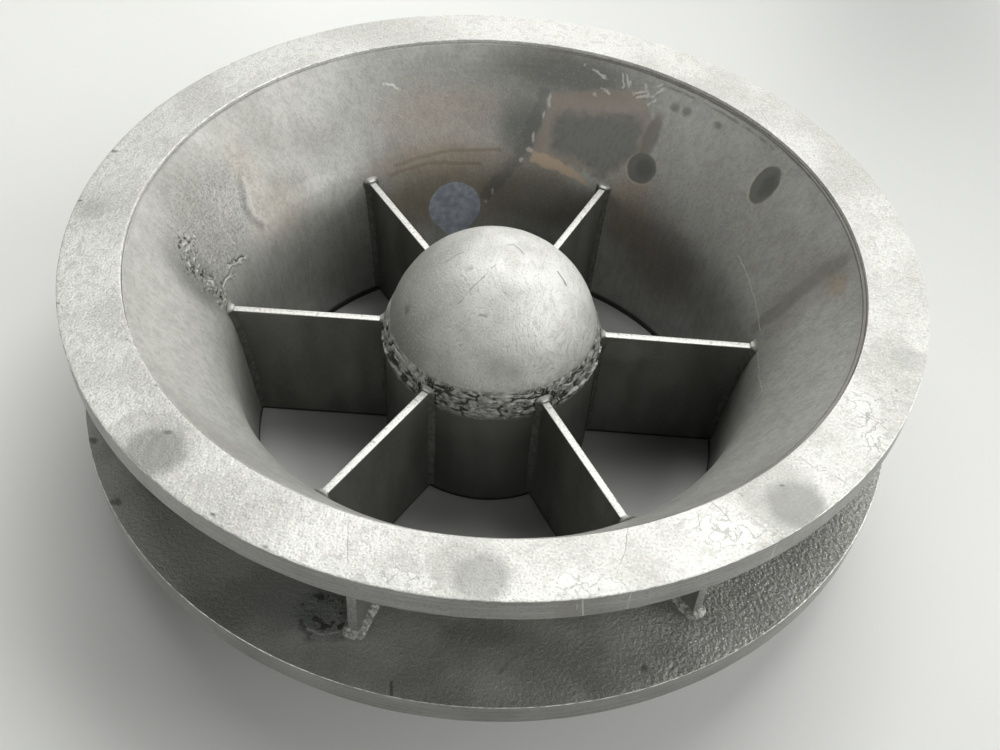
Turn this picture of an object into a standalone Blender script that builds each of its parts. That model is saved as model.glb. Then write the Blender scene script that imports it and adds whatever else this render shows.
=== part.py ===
"""Flanged inlet bell with straight guide vanes and a domed hub, for a large axial pump or fan.

Units are metres and +Z is up. The origin is the centre of the spigot's lower end, on the axis,
which is the level the piece stands on. The bell opens upwards.
"""
import math

import bmesh
import bpy
from mathutils import Matrix

# Driving dimensions of the flanges
OUTER_RADIUS = 0.500
TOP_FLANGE_BORE = 0.431
FLANGE_THICKNESS = 0.030
OVERALL_HEIGHT = 0.333
BOTTOM_FLANGE_RADIUS = 0.505
BOTTOM_FLANGE_BASE = 0.115
FLANGE_EDGE = 0.0015

# Driving dimensions of the bell wall. Its inner side is a steep throat and a wide cone, with a smooth
# bend between them. A slope is the radius gained for each metre of height.
THROAT_SLOPE = 0.10
MOUTH_SLOPE = 0.71
BEND_HEIGHT = 0.185
BEND_SOFTNESS = 0.030
BELL_WALL = 0.005
BELL_TOP = 0.328

# Driving dimensions of the hub, a pipe with a domed end
HUB_RADIUS = 0.1365
HUB_WALL = 0.0093
HUB_BASE = 0.002
HUB_SEAM = 0.176
DOME_RADIUS = 0.1335
DOME_WALL = 0.009

# Driving dimensions of the plates, which stand at the uneven angles they were welded in at
VANE_ANGLES = (0.2, 64.8, 124.9, 180.9, 239.0, 299.9)
VANE_THICKNESS = 0.010
VANE_BASE = 0.003
VANE_TOP = 0.186
GUSSET_ANGLES = (31.5, 76.5, 121.5, 166.5, 211.5, 254.8, 303.2, 346.5)
GUSSET_THICKNESS = 0.012
GUSSET_REACH = 0.447

# Driving dimensions of the weld metal
PLATE_WELD_LEG = 0.008
PLATE_WELD_BULGE = 0.0006
SEAM_WELD_PROUD = 0.0040
SEAM_WELD_LOW = 0.160
SEAM_WELD_HIGH = 0.204
SEAM_WELD_STEP = 0.006
RING_WELD_LEG = 0.009
RING_WELD_BULGE = 0.0012
UPPER_WELD_ROOT = 0.316
UPPER_WELD_TOE = 0.299
GUSSET_COPE = 0.014
VANE_WELD_END = 0.003
VANE_WELD_TURN = 0.0015

# Clearance between neighbours, and how finely round pieces are turned
GAP = 0.0003
CURVE_GAP = 0.0006
RING_STEPS = 72
BELL_RINGS = 28
HUB_STEPS = 48
DOME_RINGS = 12
SEAM_WELD_RINGS = 8
EDGE_STATIONS = 19
UPPER_WELD_STATIONS = 4
LAND_STEP = 0.0002
SHARP_ANGLE = 35

COLLECTION_NAME = "flanged_inlet_bell"


def make_material(name, colour, roughness, metallic):
    """Principled material with one colour."""
    material = bpy.data.materials.new(name)
    material.use_nodes = True
    shader = material.node_tree.nodes["Principled BSDF"]
    shader.inputs["Base Color"].default_value = (*colour, 1.0)
    shader.inputs["Roughness"].default_value = roughness
    shader.inputs["Metallic"].default_value = metallic
    return material


def add_object(name, mesh, material, collection):
    """Put a mesh in the collection under its own name."""
    piece = bpy.data.objects.new(name, mesh)
    mesh.materials.append(material)
    collection.objects.link(piece)
    return piece


def shade_round(mesh):
    """Smooth shading, with the corners of the profile left sharp."""
    mesh.shade_smooth()
    mesh.set_sharp_from_angle(angle=math.radians(SHARP_ANGLE))


def bell_run(height):
    """Radius gained up to a height, from the slopes of throat and mouth and the bend between them."""
    even = (MOUTH_SLOPE + THROAT_SLOPE) / 2 * height
    return even + (MOUTH_SLOPE - THROAT_SLOPE) / 2 * math.hypot(height - BEND_HEIGHT, BEND_SOFTNESS)


def bell_slope(height):
    """Slope of the bell's inner side at a height."""
    turn = (height - BEND_HEIGHT) / math.hypot(height - BEND_HEIGHT, BEND_SOFTNESS)
    return (MOUTH_SLOPE + THROAT_SLOPE) / 2 + (MOUTH_SLOPE - THROAT_SLOPE) / 2 * turn


def bell_inner_radius(height):
    """Radius of the bell's inner side, which runs out at the top flange's bore."""
    return TOP_FLANGE_BORE - bell_run(OVERALL_HEIGHT) + bell_run(height)


def bell_outer_point(height):
    """Point of the outer side that lies one wall thickness from the inner side at this height."""
    slope = bell_slope(height)
    length = math.hypot(1, slope)
    radius = bell_inner_radius(height) + BELL_WALL / length
    return radius, height - BELL_WALL * slope / length


def bell_outer_radius(height):
    """Radius of the bell's outer side at a height, found by closing in on it."""
    source = height
    for _ in range(12):
        source += height - bell_outer_point(source)[1]
    return bell_outer_point(source)[0]


def turned_piece(name, profile, steps, material, collection, closed=True):
    """Turn a profile of (radius, height) points, which runs down its outer side, about the axis."""
    mesh = bpy.data.meshes.new(name)
    shape = bmesh.new()
    points = [shape.verts.new((radius, 0, height)) for radius, height in profile]
    for first, second in zip(points, points[1:]):
        shape.edges.new((first, second))
    if closed:
        shape.edges.new((points[-1], points[0]))
    shape.to_mesh(mesh)
    shape.free()
    piece = add_object(name, mesh, material, collection)
    screw = piece.modifiers.new("turn", "SCREW")
    screw.axis = "Z"
    screw.angle = math.tau
    screw.steps = steps
    screw.render_steps = steps
    screw.use_merge_vertices = True
    screw.merge_threshold = 0.00001
    bpy.context.view_layer.update()
    turned = bpy.data.meshes.new_from_object(piece.evaluated_get(bpy.context.evaluated_depsgraph_get()))
    piece.modifiers.clear()
    piece.data = turned
    shade_round(turned)
    return piece


def ring_profile(outer, inner_top, inner_bottom, base, top):
    """Profile of a flat ring with small edge chamfers and a bore that may taper."""
    edge = FLANGE_EDGE
    return [
        (outer - edge, top),
        (outer, top - edge),
        (outer, base + edge),
        (outer - edge, base),
        (inner_bottom, base),
        (inner_top, top - edge),
        (inner_top + edge, top),
    ]


def radial_plate(name, outline, thickness, angle, material, collection):
    """Upright plate from an outline of (radius, height) points, turned about the axis by degrees."""
    curve = bpy.data.curves.new(name, "CURVE")
    curve.dimensions = "2D"
    curve.fill_mode = "BOTH"
    curve.extrude = thickness / 2
    spline = curve.splines.new("POLY")
    spline.points.add(len(outline) - 1)
    for point, (radius, height) in zip(spline.points, outline):
        point.co = (radius, height, 0, 1)
    spline.use_cyclic_u = True
    curve.materials.append(material)
    plate = bpy.data.objects.new(name, curve)
    plate.rotation_euler = (math.pi / 2, 0, math.radians(angle))
    collection.objects.link(plate)
    return plate


def heights_between(low, high, count):
    """Evenly spaced heights from low to high, both included."""
    return [low + (high - low) * index / (count - 1) for index in range(count)]


def weld_round_plate(name, side, angle, material, collection):
    """Weld bead lofted along one side of a radial plate, over its end and back along the other.

    The side is a list of closed sections. Its last one lies on the plate's middle plane.
    """
    shape = bmesh.new()
    back = [[(x, -y, z) for x, y, z in section] for section in side[-2::-1]]
    loops = []
    for section in side + back:
        corners = [shape.verts.new(point) for point in section]
        loops.append([shape.edges.new(pair) for pair in zip(corners, corners[1:] + corners[:1])])
    for first, second in zip(loops, loops[1:]):
        bmesh.ops.bridge_loops(shape, edges=first + second)
    for end in (loops[0], loops[-1]):
        bmesh.ops.contextual_create(shape, geom=end)
    bmesh.ops.recalc_face_normals(shape, faces=shape.faces)
    shape.transform(Matrix.Rotation(math.radians(angle), 4, "Z"))
    mesh = bpy.data.meshes.new(name)
    shape.to_mesh(mesh)
    shape.free()
    add_object(name, mesh, material, collection)


def upright_section(radius_at, height, leg, offset, spread, rise):
    """Section of a fillet between a radial plate and a round wall.

    A negative leg puts it on the axis side of the wall. It spreads sideways along the plate's
    side, rises over its top edge, and does both at the corner.
    """
    side = math.copysign(1, leg)
    root = math.sqrt(radius_at(height) ** 2 - offset ** 2) + side * CURVE_GAP
    far = math.sqrt(radius_at(height + rise) ** 2 - (offset + spread) ** 2) + side * CURVE_GAP
    middle = (root + leg + far) / 2 + side * PLATE_WELD_BULGE
    return [
        (root, offset, height),
        (root + leg, offset, height),
        (middle, offset + spread / 2, height + rise / 2),
        (far, offset + spread, height + rise),
    ]


def upright_weld(radius_at, heights, leg, offset):
    """Sections up one side of a plate and over the middle of its top edge."""
    reach = abs(leg)
    rising = [upright_section(radius_at, height, leg, offset, reach, 0) for height in heights[:-1]]
    corner = upright_section(radius_at, heights[-1], leg, offset, reach, reach)
    crown = upright_section(radius_at, heights[-1], leg, 0, 0, reach)
    return rising + [corner, crown]


def level_section(radius, level, offset, spread, reach):
    """Section of a fillet between a radial plate and the level face below it.

    It spreads sideways along the plate's side, reaches out past its end, and does both at the corner.
    """
    leg = PLATE_WELD_LEG
    return [
        (radius, offset, level),
        (radius + reach, offset + spread, level),
        (radius + reach / 2, offset + spread / 2, level + leg / 2 + PLATE_WELD_BULGE),
        (radius, offset, level + leg),
    ]


def build_flanges(material, collection):
    """The two flat rings. The lower one is a little wider, and its bore is bevelled for its flush weld."""
    top_base = OVERALL_HEIGHT - FLANGE_THICKNESS
    profile = ring_profile(OUTER_RADIUS, TOP_FLANGE_BORE, TOP_FLANGE_BORE, top_base, OVERALL_HEIGHT)
    turned_piece("top_flange", profile, RING_STEPS, material, collection)
    bottom_top = BOTTOM_FLANGE_BASE + FLANGE_THICKNESS
    bore_top = bell_outer_radius(bottom_top) + CURVE_GAP
    bore_base = bell_outer_radius(BOTTOM_FLANGE_BASE) + CURVE_GAP
    bevel_start = BOTTOM_FLANGE_BASE + RING_WELD_LEG
    bore_middle = bell_outer_radius(bevel_start) + CURVE_GAP
    bevel_end = bore_base + RING_WELD_LEG
    profile = ring_profile(BOTTOM_FLANGE_RADIUS, bore_top, bevel_end, BOTTOM_FLANGE_BASE, bottom_top)
    profile.insert(5, (bore_middle, bevel_start))
    turned_piece("bottom_flange", profile, RING_STEPS, material, collection)


def build_bell(material, collection):
    """The flared wall, which ends below the bottom flange as a plain spigot.

    Its top is turned down to fit the flange's bore, so the outer side starts where it meets that land.
    """
    land_radius = TOP_FLANGE_BORE - GAP
    rising = heights_between(0.0, BELL_TOP, BELL_RINGS + 1)
    inner = [(bell_inner_radius(height), height) for height in rising]
    outer = [point for point in map(bell_outer_point, rising[::-1]) if point[0] < land_radius and point[1] > 0]
    land_foot = BELL_TOP
    while bell_outer_radius(land_foot) > land_radius:
        land_foot -= LAND_STEP
    land = [(land_radius, BELL_TOP), (land_radius, land_foot)]
    outer.append((bell_outer_radius(0.0), 0.0))
    turned_piece("bell_wall", land + outer + inner, RING_STEPS, material, collection)


def build_hub(material, collection):
    """The pipe barrel and the domed end that closes its top."""
    barrel = [
        (HUB_RADIUS, HUB_SEAM - GAP),
        (HUB_RADIUS, HUB_BASE),
        (HUB_RADIUS - HUB_WALL, HUB_BASE),
        (HUB_RADIUS - HUB_WALL, HUB_SEAM - GAP),
    ]
    turned_piece("hub_barrel", barrel, HUB_STEPS, material, collection)
    rise = [math.pi / 2 * (1 - index / DOME_RINGS) for index in range(DOME_RINGS + 1)]
    outside = [(DOME_RADIUS * math.cos(turn), HUB_SEAM + DOME_RADIUS * math.sin(turn)) for turn in rise]
    inside_radius = DOME_RADIUS - DOME_WALL
    inside = [(inside_radius * math.cos(turn), HUB_SEAM + inside_radius * math.sin(turn)) for turn in rise]
    dome = outside + inside[::-1]
    dome[0] = (0, dome[0][1])
    dome[-1] = (0, dome[-1][1])
    turned_piece("hub_dome", dome, HUB_STEPS, material, collection, closed=False)


def hub_surface_radius(height):
    """Outer radius of the barrel, or of the dome above the seam."""
    if height <= HUB_SEAM:
        return HUB_RADIUS
    return math.sqrt(DOME_RADIUS ** 2 - (height - HUB_SEAM) ** 2)


def seam_weld_radius(height):
    """Outer radius of the heavy bead that joins the dome to the barrel."""
    middle = (SEAM_WELD_LOW + SEAM_WELD_HIGH) / 2
    half = (SEAM_WELD_HIGH - SEAM_WELD_LOW) / 2
    share = (height - middle) / half
    return hub_surface_radius(height) + CURVE_GAP + SEAM_WELD_PROUD * (1 - share * share)


def vane_seat_radius(height):
    """Radius that a vane's inner edge follows, down the bead and the barrel."""
    if height < SEAM_WELD_LOW:
        return HUB_RADIUS
    return seam_weld_radius(height) + GAP


def build_seam_weld(material, collection):
    """The heavy bead around the foot of the dome."""
    rising = heights_between(SEAM_WELD_LOW, SEAM_WELD_HIGH, SEAM_WELD_RINGS + 1)
    outside = [(seam_weld_radius(height) + GAP, height) for height in rising[::-1]]
    inside = [
        (hub_surface_radius(height) + GAP, height)
        for height in heights_between(HUB_SEAM + SEAM_WELD_STEP, SEAM_WELD_HIGH, SEAM_WELD_RINGS // 2 + 1)
    ]
    seat = [(HUB_RADIUS + GAP, SEAM_WELD_LOW), (HUB_RADIUS + GAP, HUB_SEAM)]
    profile = outside + seat + [(DOME_RADIUS + GAP, HUB_SEAM + GAP)] + inside[:-1]
    turned_piece("hub_seam_weld", profile, HUB_STEPS, material, collection)


def build_ring_welds(material, collection):
    """The welds that run round the outside of the bell at both flanges."""
    face = BOTTOM_FLANGE_BASE + FLANGE_THICKNESS + GAP
    root = (bell_outer_radius(face) + CURVE_GAP, face)
    toe = (root[0] + RING_WELD_LEG, face)
    crown = (bell_outer_radius(face + RING_WELD_LEG) + CURVE_GAP, face + RING_WELD_LEG)
    middle = ((toe[0] + crown[0]) / 2 + RING_WELD_BULGE, (toe[1] + crown[1]) / 2 + RING_WELD_BULGE)
    turned_piece("bottom_flange_weld_upper", [crown, middle, toe, root], RING_STEPS, material, collection)

    level = BOTTOM_FLANGE_BASE + GAP
    apex_height = BOTTOM_FLANGE_BASE + RING_WELD_LEG - 2 * GAP
    apex = (bell_outer_radius(apex_height) + CURVE_GAP, apex_height)
    inner = (bell_outer_radius(level) + CURVE_GAP, level)
    outer = (bell_outer_radius(BOTTOM_FLANGE_BASE) + CURVE_GAP + RING_WELD_LEG - 3 * GAP, level)
    turned_piece("bottom_flange_weld_lower", [apex, outer, inner], RING_STEPS, material, collection)

    bore = TOP_FLANGE_BORE - GAP
    under = OVERALL_HEIGHT - FLANGE_THICKNESS
    rising = heights_between(UPPER_WELD_TOE, UPPER_WELD_ROOT, UPPER_WELD_STATIONS)
    bell_side = [(bell_outer_radius(height) + CURVE_GAP, height) for height in rising]
    face_middle = ((bore + bell_side[0][0]) / 2, (under + UPPER_WELD_TOE) / 2 - RING_WELD_BULGE)
    profile = [(bore, UPPER_WELD_ROOT), (bore, under), face_middle] + bell_side
    turned_piece("top_flange_weld", profile, RING_STEPS, material, collection)


def build_vanes(plate_material, weld_material, collection):
    """Six straight upright plates from the hub to the bell wall, welded along both ends."""
    bead_stations = EDGE_STATIONS // 2 + 2
    hub_heights = [VANE_BASE, SEAM_WELD_LOW - GAP] + heights_between(SEAM_WELD_LOW, VANE_TOP, bead_stations)
    hub_side = [(vane_seat_radius(height) + CURVE_GAP, height) for height in hub_heights]
    bell_side = [
        (bell_inner_radius(height) - CURVE_GAP, height)
        for height in heights_between(VANE_BASE, VANE_TOP, EDGE_STATIONS)
    ]
    outline = bell_side + hub_side[::-1]
    offset = VANE_THICKNESS / 2 + GAP
    low = VANE_BASE + VANE_WELD_END
    top = VANE_TOP + GAP
    seat_heights = [low, SEAM_WELD_LOW - GAP] + heights_between(SEAM_WELD_LOW, top, bead_stations)
    hub_weld = upright_weld(vane_seat_radius, seat_heights, PLATE_WELD_LEG, offset)
    wall_heights = heights_between(low, top - VANE_WELD_TURN, EDGE_STATIONS) + [top]
    bell_weld = upright_weld(bell_inner_radius, wall_heights, -PLATE_WELD_LEG, offset)
    for index, angle in enumerate(VANE_ANGLES):
        name = f"vane_{index + 1}"
        radial_plate(name, outline, VANE_THICKNESS, angle, plate_material, collection)
        weld_round_plate(f"{name}_hub_weld", hub_weld, angle, weld_material, collection)
        weld_round_plate(f"{name}_bell_weld", bell_weld, angle, weld_material, collection)


def build_gussets(plate_material, weld_material, collection):
    """Upright plates that tie the two flanges together outside the bell, welded round their feet."""
    low = BOTTOM_FLANGE_BASE + FLANGE_THICKNESS + GAP
    high = OVERALL_HEIGHT - FLANGE_THICKNESS - GAP
    bell_side = [
        (bell_outer_radius(height) + CURVE_GAP, height)
        for height in heights_between(low + GUSSET_COPE, high - GUSSET_COPE, EDGE_STATIONS)
    ]
    foot = bell_outer_radius(low) + GUSSET_COPE
    outline = [(GUSSET_REACH, high), (TOP_FLANGE_BORE + GAP, high)]
    outline += bell_side[::-1]
    outline += [(foot, low), (GUSSET_REACH, low)]
    offset = GUSSET_THICKNESS / 2 + GAP
    end = GUSSET_REACH + GAP
    foot_weld = [
        level_section(foot, low, offset, PLATE_WELD_LEG, 0),
        level_section(end, low, offset, PLATE_WELD_LEG, PLATE_WELD_LEG),
        level_section(end, low, 0, 0, PLATE_WELD_LEG),
    ]
    for index, angle in enumerate(GUSSET_ANGLES):
        name = f"gusset_{index + 1}"
        radial_plate(name, outline, GUSSET_THICKNESS, angle, plate_material, collection)
        weld_round_plate(f"{name}_foot_weld", foot_weld, angle, weld_material, collection)


def main():
    for thing in list(bpy.data.objects):
        bpy.data.objects.remove(thing, do_unlink=True)
    collection = bpy.data.collections.new(COLLECTION_NAME)
    bpy.context.scene.collection.children.link(collection)
    flange_steel = make_material("blasted_flange_steel", (0.56, 0.56, 0.54), 0.55, 0.7)
    bell_steel = make_material("bell_plate_steel", (0.40, 0.39, 0.37), 0.5, 0.75)
    hub_steel = make_material("hub_steel", (0.50, 0.50, 0.48), 0.5, 0.75)
    plate_steel = make_material("plate_steel", (0.42, 0.42, 0.40), 0.55, 0.7)
    weld_steel = make_material("weld_metal", (0.52, 0.52, 0.50), 0.6, 0.7)
    build_flanges(flange_steel, collection)
    build_bell(bell_steel, collection)
    build_hub(hub_steel, collection)
    build_seam_weld(weld_steel, collection)
    build_ring_welds(weld_steel, collection)
    build_vanes(plate_steel, weld_steel, collection)
    build_gussets(plate_steel, weld_steel, collection)


main()
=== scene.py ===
"""Looks of a flanged inlet bell with guide vanes: fine surfaces, weld beads, finishes, light, camera.

Units are metres and +Z is up. The origin is on the bell's axis, on the floor it stands on.
"""
import math

import bmesh
import bpy
from mathutils import Matrix, Vector, noise


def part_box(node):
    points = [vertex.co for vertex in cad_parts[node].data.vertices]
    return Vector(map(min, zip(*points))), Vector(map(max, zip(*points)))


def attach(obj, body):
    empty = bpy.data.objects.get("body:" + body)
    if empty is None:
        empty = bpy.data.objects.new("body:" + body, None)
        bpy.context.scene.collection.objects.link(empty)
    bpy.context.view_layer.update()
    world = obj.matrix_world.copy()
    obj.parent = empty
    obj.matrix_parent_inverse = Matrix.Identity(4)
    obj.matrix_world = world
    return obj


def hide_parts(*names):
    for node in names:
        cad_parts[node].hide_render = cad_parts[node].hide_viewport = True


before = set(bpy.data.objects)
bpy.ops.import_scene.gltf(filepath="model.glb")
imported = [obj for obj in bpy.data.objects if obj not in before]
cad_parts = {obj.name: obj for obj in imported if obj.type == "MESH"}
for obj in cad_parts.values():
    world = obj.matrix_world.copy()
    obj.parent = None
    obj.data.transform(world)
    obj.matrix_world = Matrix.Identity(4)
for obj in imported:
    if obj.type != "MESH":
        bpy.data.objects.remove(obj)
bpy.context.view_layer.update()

# Noise vectors start from the clock unless they are seeded, and each run has to give the same shapes
NOISE_SEED = 1
noise.seed_set(NOISE_SEED)

# Sizes read from the frame
OUTER_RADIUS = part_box("top_flange")[1].x
LOWER_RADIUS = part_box("bottom_flange")[1].x
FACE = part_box("top_flange")[1].z
TOP_FLANGE_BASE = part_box("top_flange")[0].z
LOWER_FLANGE_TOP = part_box("bottom_flange")[1].z
LOWER_FLANGE_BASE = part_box("bottom_flange")[0].z
LAND_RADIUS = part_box("bell_wall")[1].x
BELL_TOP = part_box("bell_wall")[1].z
HUB_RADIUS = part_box("hub_barrel")[1].x
HUB_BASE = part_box("hub_barrel")[0].z
HUB_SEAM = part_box("hub_dome")[0].z
DOME_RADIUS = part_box("hub_dome")[1].x
SEAM_WELD_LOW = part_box("hub_seam_weld")[0].z
SEAM_WELD_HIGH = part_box("hub_seam_weld")[1].z
VANE_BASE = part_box("vane_1")[0].z
VANE_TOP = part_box("vane_1")[1].z

# Sizes of the curved walls and plates, as the solids have them
TOP_FLANGE_BORE = 0.431
THROAT_SLOPE = 0.10
MOUTH_SLOPE = 0.71
BEND_HEIGHT = 0.185
BEND_SOFTNESS = 0.030
BELL_WALL = 0.005
LAND_STEP = 0.0002
HUB_WALL = 0.0093
DOME_WALL = 0.009
SEAM_WELD_PROUD = 0.0040
VANE_ANGLES = (0.2, 64.8, 124.9, 180.9, 239.0, 299.9)
VANE_THICKNESS = 0.010
GUSSET_ANGLES = (31.5, 76.5, 121.5, 166.5, 211.5, 254.8, 303.2, 346.5)
GUSSET_THICKNESS = 0.012
GUSSET_REACH = 0.447
GUSSET_COPE = 0.014
RING_WELD_LEG = 0.009

# Legs of the weld beads, where the vanes' beads start above the vane's foot, and how far the beads
# under the top flange stay off the gusset's ends
VANE_HUB_LEG = 0.0065
VANE_BELL_LEG = 0.0070
GUSSET_FOOT_LEG = 0.0072
GUSSET_BELL_LEG = 0.0065
GUSSET_TOP_LEG = 0.0060
VANE_WELD_START = 0.004
BEAD_MARGIN = 0.002

# Gap between the lower flange and the bell, and how far a welded piece reaches into its neighbour
SEAT = 0.0005
SINK = 0.002

# Rounded edges of the flanges, of the barrel and of the plates
FLANGE_ROUNDING = 0.0012
BARREL_ROUNDING = 0.0005
PLATE_ROUNDING = 0.0013

# How finely the surfaces are divided. Round pieces are turned a sector at a time.
SECTORS = 20
RING_STEPS = 640
BELL_STEPS = 480
HUB_STEPS = 400
SEAM_STEPS = 720
FLANGE_SPACING = 0.003
BARREL_SPACING = 0.008
VANE_BEAD_SPACING = 0.0010
GUSSET_BEAD_SPACING = 0.0012
ROUTE_PASSES = 3
BEAD_FACE_STEPS = 6
SCAR_CUTS = 3
SHARP_ANGLE = 40
MERGE = 0.00001

# Radius at which the bell's inside is unrolled into a flat chart for its marks
CHART_RADIUS = 0.36
# Size of the waves in a mark's ragged edge
EDGE_GRAIN = 0.012

# Part of the bell that is finely divided for its scar: azimuths in degrees and heights
SCAR_AZIMUTHS = (153.0, 186.0)
SCAR_HEIGHTS = (0.190, 0.285)
# Middle of the scar, as an azimuth and a height, and its reach from there across and up
SCAR_MIDDLE = (172, 0.240)
SCAR_REACH = (0.085, 0.052)

# Crust of the seam weld: length and height of its plates at the front, what its ridges at the sides
# have over that, and the depth of its crevices at the front and sides and at the rear
CRUST_PLATE = (0.030, 0.0058)
RIDGE_EXTRA = (0.040, 0.0025)
CREVICE_DEPTH = 0.0030
REAR_CREVICE_DEPTH = 0.0012

# Camera, worked out from the flange's two rims
CAMERA_PLACE = (0.01412, -1.07676, 1.24193)
CAMERA_PITCH = 46.7766
CAMERA_ROLL = 4.5327
CAMERA_LENS = 42.784
SENSOR_WIDTH = 36.0

# Studio: half the floor's width, the faint even light of the sky, and the panels
FLOOR_REACH = 8.0
SKY_COLOUR = (0.95, 0.98, 1.0, 1.0)
SKY_STRENGTH = 0.01
PANEL_WIDTH = 3.0
PANEL_DISTANCE = 5.0
LIGHT_TARGET = Vector((0.0, 0.0, 0.2))
LIGHT_COLOUR = (1.0, 1.0, 0.965)
# Each panel's name, azimuth and elevation in degrees, watts, and height in metres
PANELS = (
    ("overhead_rear_right", 60, 62, 130, 3.0),
    ("overhead_rear_left", 120, 62, 59, 3.0),
    ("high_right", 0, 38, 50, 3.0),
    ("high_rear", 90, 38, 34, 3.0),
    ("high_front_right", 300, 38, 56, 3.0),
    ("low_right", 0, 12, 153, 1.65),
    ("low_rear_right", 45, 12, 44, 1.65),
    ("low_rear", 90, 12, 40, 1.65),
    ("low_left", 180, 12, 20, 1.65),
    ("low_front_left", 225, 12, 72, 1.65),
)


class Finish:
    """A procedural finish: one Principled shader, and the nodes that feed its colour, gloss and relief.

    The colour starts as a base and takes one tint after another. A mask is 1 where a mark is and 0
    elsewhere. Sizes are in metres.
    """

    def __init__(self, name, metallic):
        self.material = bpy.data.materials.new(name)
        self.material.use_nodes = True
        self.nodes = self.material.node_tree.nodes
        self.links = self.material.node_tree.links
        self.shader = self.nodes["Principled BSDF"]
        self.shader.inputs["Metallic"].default_value = metallic
        self.place = self.nodes.new("ShaderNodeTexCoord").outputs["Object"]
        self.chart = self.place
        self.flat = False
        self.waves = {}
        self.colour = None

    def feed(self, socket, value):
        """Link a socket to another, or set its own value."""
        if isinstance(value, bpy.types.NodeSocket):
            self.links.new(value, socket)
        elif value is not None:
            socket.default_value = value

    def node(self, kind, inputs, **settings):
        """New node with its settings and the first inputs fed in order."""
        made = self.nodes.new(kind)
        for key, value in settings.items():
            setattr(made, key, value)
        for socket, value in zip(made.inputs, inputs):
            self.feed(socket, value)
        return made

    def math(self, operation, first, second=None, third=None):
        return self.node("ShaderNodeMath", (first, second, third), operation=operation).outputs[0]

    def times(self, first, second):
        return self.math("MULTIPLY", first, second)

    def added(self, value, share, rest):
        """A value times its share, on top of the rest."""
        return self.math("MULTIPLY_ADD", value, share, rest)

    def vector(self, operation, first, second=None):
        made = self.node("ShaderNodeVectorMath", (first, second), operation=operation)
        return made.outputs["Value" if operation in ("LENGTH", "DOT_PRODUCT") else "Vector"]

    def along(self, axis):
        """One coordinate of the place on the object."""
        return self.node("ShaderNodeSeparateXYZ", (self.place,)).outputs[axis]

    def off_axis(self):
        """Distance from the bell's axis."""
        return self.vector("LENGTH", self.vector("MULTIPLY", self.place, (1, 1, 0)))

    def unroll(self, radius):
        """Lay marks on a flat chart: the way round the axis, counted from the rear, and the height."""
        turn = self.math("ARCTAN2", self.along("X"), self.along("Y"))
        across = self.times(turn, radius)
        self.chart = self.node("ShaderNodeCombineXYZ", (across, self.along("Z"), 0.0)).outputs[0]
        self.flat = True

    def noted(self, name):
        """Value that a piece carries at each of its vertices."""
        return self.node("ShaderNodeAttribute", (), attribute_name=name).outputs["Fac"]

    def ramp(self, value, low, high, start=0.0, end=1.0):
        """Smooth step of a value from start, at low, to end, at high."""
        made = self.node("ShaderNodeMapRange", (value, low, high, start, end))
        made.interpolation_type = "SMOOTHSTEP"
        return made.outputs["Result"]

    def mottle(self, size, detail, stretch=(1, 1, 1), at=None, colour=False):
        """Cloudy noise from 0 to 1 whose blotches are about size across."""
        place = self.vector("MULTIPLY", at or self.place, tuple(share / size for share in stretch))
        made = self.node("ShaderNodeTexNoise", (place,))
        made.inputs["Scale"].default_value = 1.0
        made.inputs["Detail"].default_value = detail
        return made.outputs["Color" if colour else "Fac"]

    def cells(self, size):
        """Distance from the middles of irregular cells about size across, as a share of the size."""
        place = self.vector("MULTIPLY", self.place, (1 / size, 1 / size, 1 / size))
        made = self.node("ShaderNodeTexVoronoi", (place,))
        made.inputs["Scale"].default_value = 1.0
        return made.outputs["Distance"]

    def wavy(self, amount, grain):
        """The chart shifted to and fro by about an amount, which gives a mark on it a ragged edge."""
        if not amount:
            return self.chart
        if grain not in self.waves:
            shades = self.mottle(grain, 2, colour=True)
            self.waves[grain] = self.vector("SUBTRACT", shades, (0.5, 0.5, 0.5))
        spread = amount * 4
        shift = self.vector("MULTIPLY", self.waves[grain], (spread, spread, 0.0 if self.flat else spread))
        return self.vector("ADD", self.chart, shift)

    def patch(self, centre, radius, soft, ragged=0.002, grain=EDGE_GRAIN):
        """Mask of a round or oval mark, with a soft and ragged edge."""
        from_centre = self.vector("SUBTRACT", self.wavy(ragged, grain), centre)
        if not isinstance(radius, tuple):
            radius = (radius, radius, radius)
        far = self.vector("LENGTH", self.vector("DIVIDE", from_centre, radius))
        return self.ramp(far, 1 + soft, 1 - soft)

    def area(self, corners, soft, ragged):
        """Mask of an area on the chart with straight sides, its corners given anticlockwise."""
        place = self.wavy(ragged, EDGE_GRAIN)
        inside = None
        for start, end in zip(corners, corners[1:] + corners[:1]):
            way = (Vector(end) - Vector(start)).normalized()
            square = Vector((-way.y, way.x, 0.0))
            far = self.math("SUBTRACT", self.vector("DOT_PRODUCT", place, tuple(square)), square.dot(start))
            inside = far if inside is None else self.math("MINIMUM", inside, far)
        return self.ramp(inside, -soft, soft)

    def scratch(self, points, width, ragged, grain=EDGE_GRAIN):
        """Mask of a thin mark that runs from point to point."""
        place = self.wavy(ragged, grain)
        nearest = None
        for start, end in zip(points, points[1:]):
            way = Vector(end) - Vector(start)
            offset = self.vector("SUBTRACT", place, tuple(start))
            share = self.vector("DOT_PRODUCT", offset, tuple(way / way.length_squared))
            share = self.node("ShaderNodeClamp", (share, 0.0, 1.0)).outputs[0]
            reached = self.node("ShaderNodeVectorMath", (tuple(way),), operation="SCALE")
            self.feed(reached.inputs["Scale"], share)
            far = self.vector("LENGTH", self.vector("SUBTRACT", offset, reached.outputs[0]))
            nearest = far if nearest is None else self.math("MINIMUM", nearest, far)
        return self.ramp(nearest, width, width * 0.4)

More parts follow.
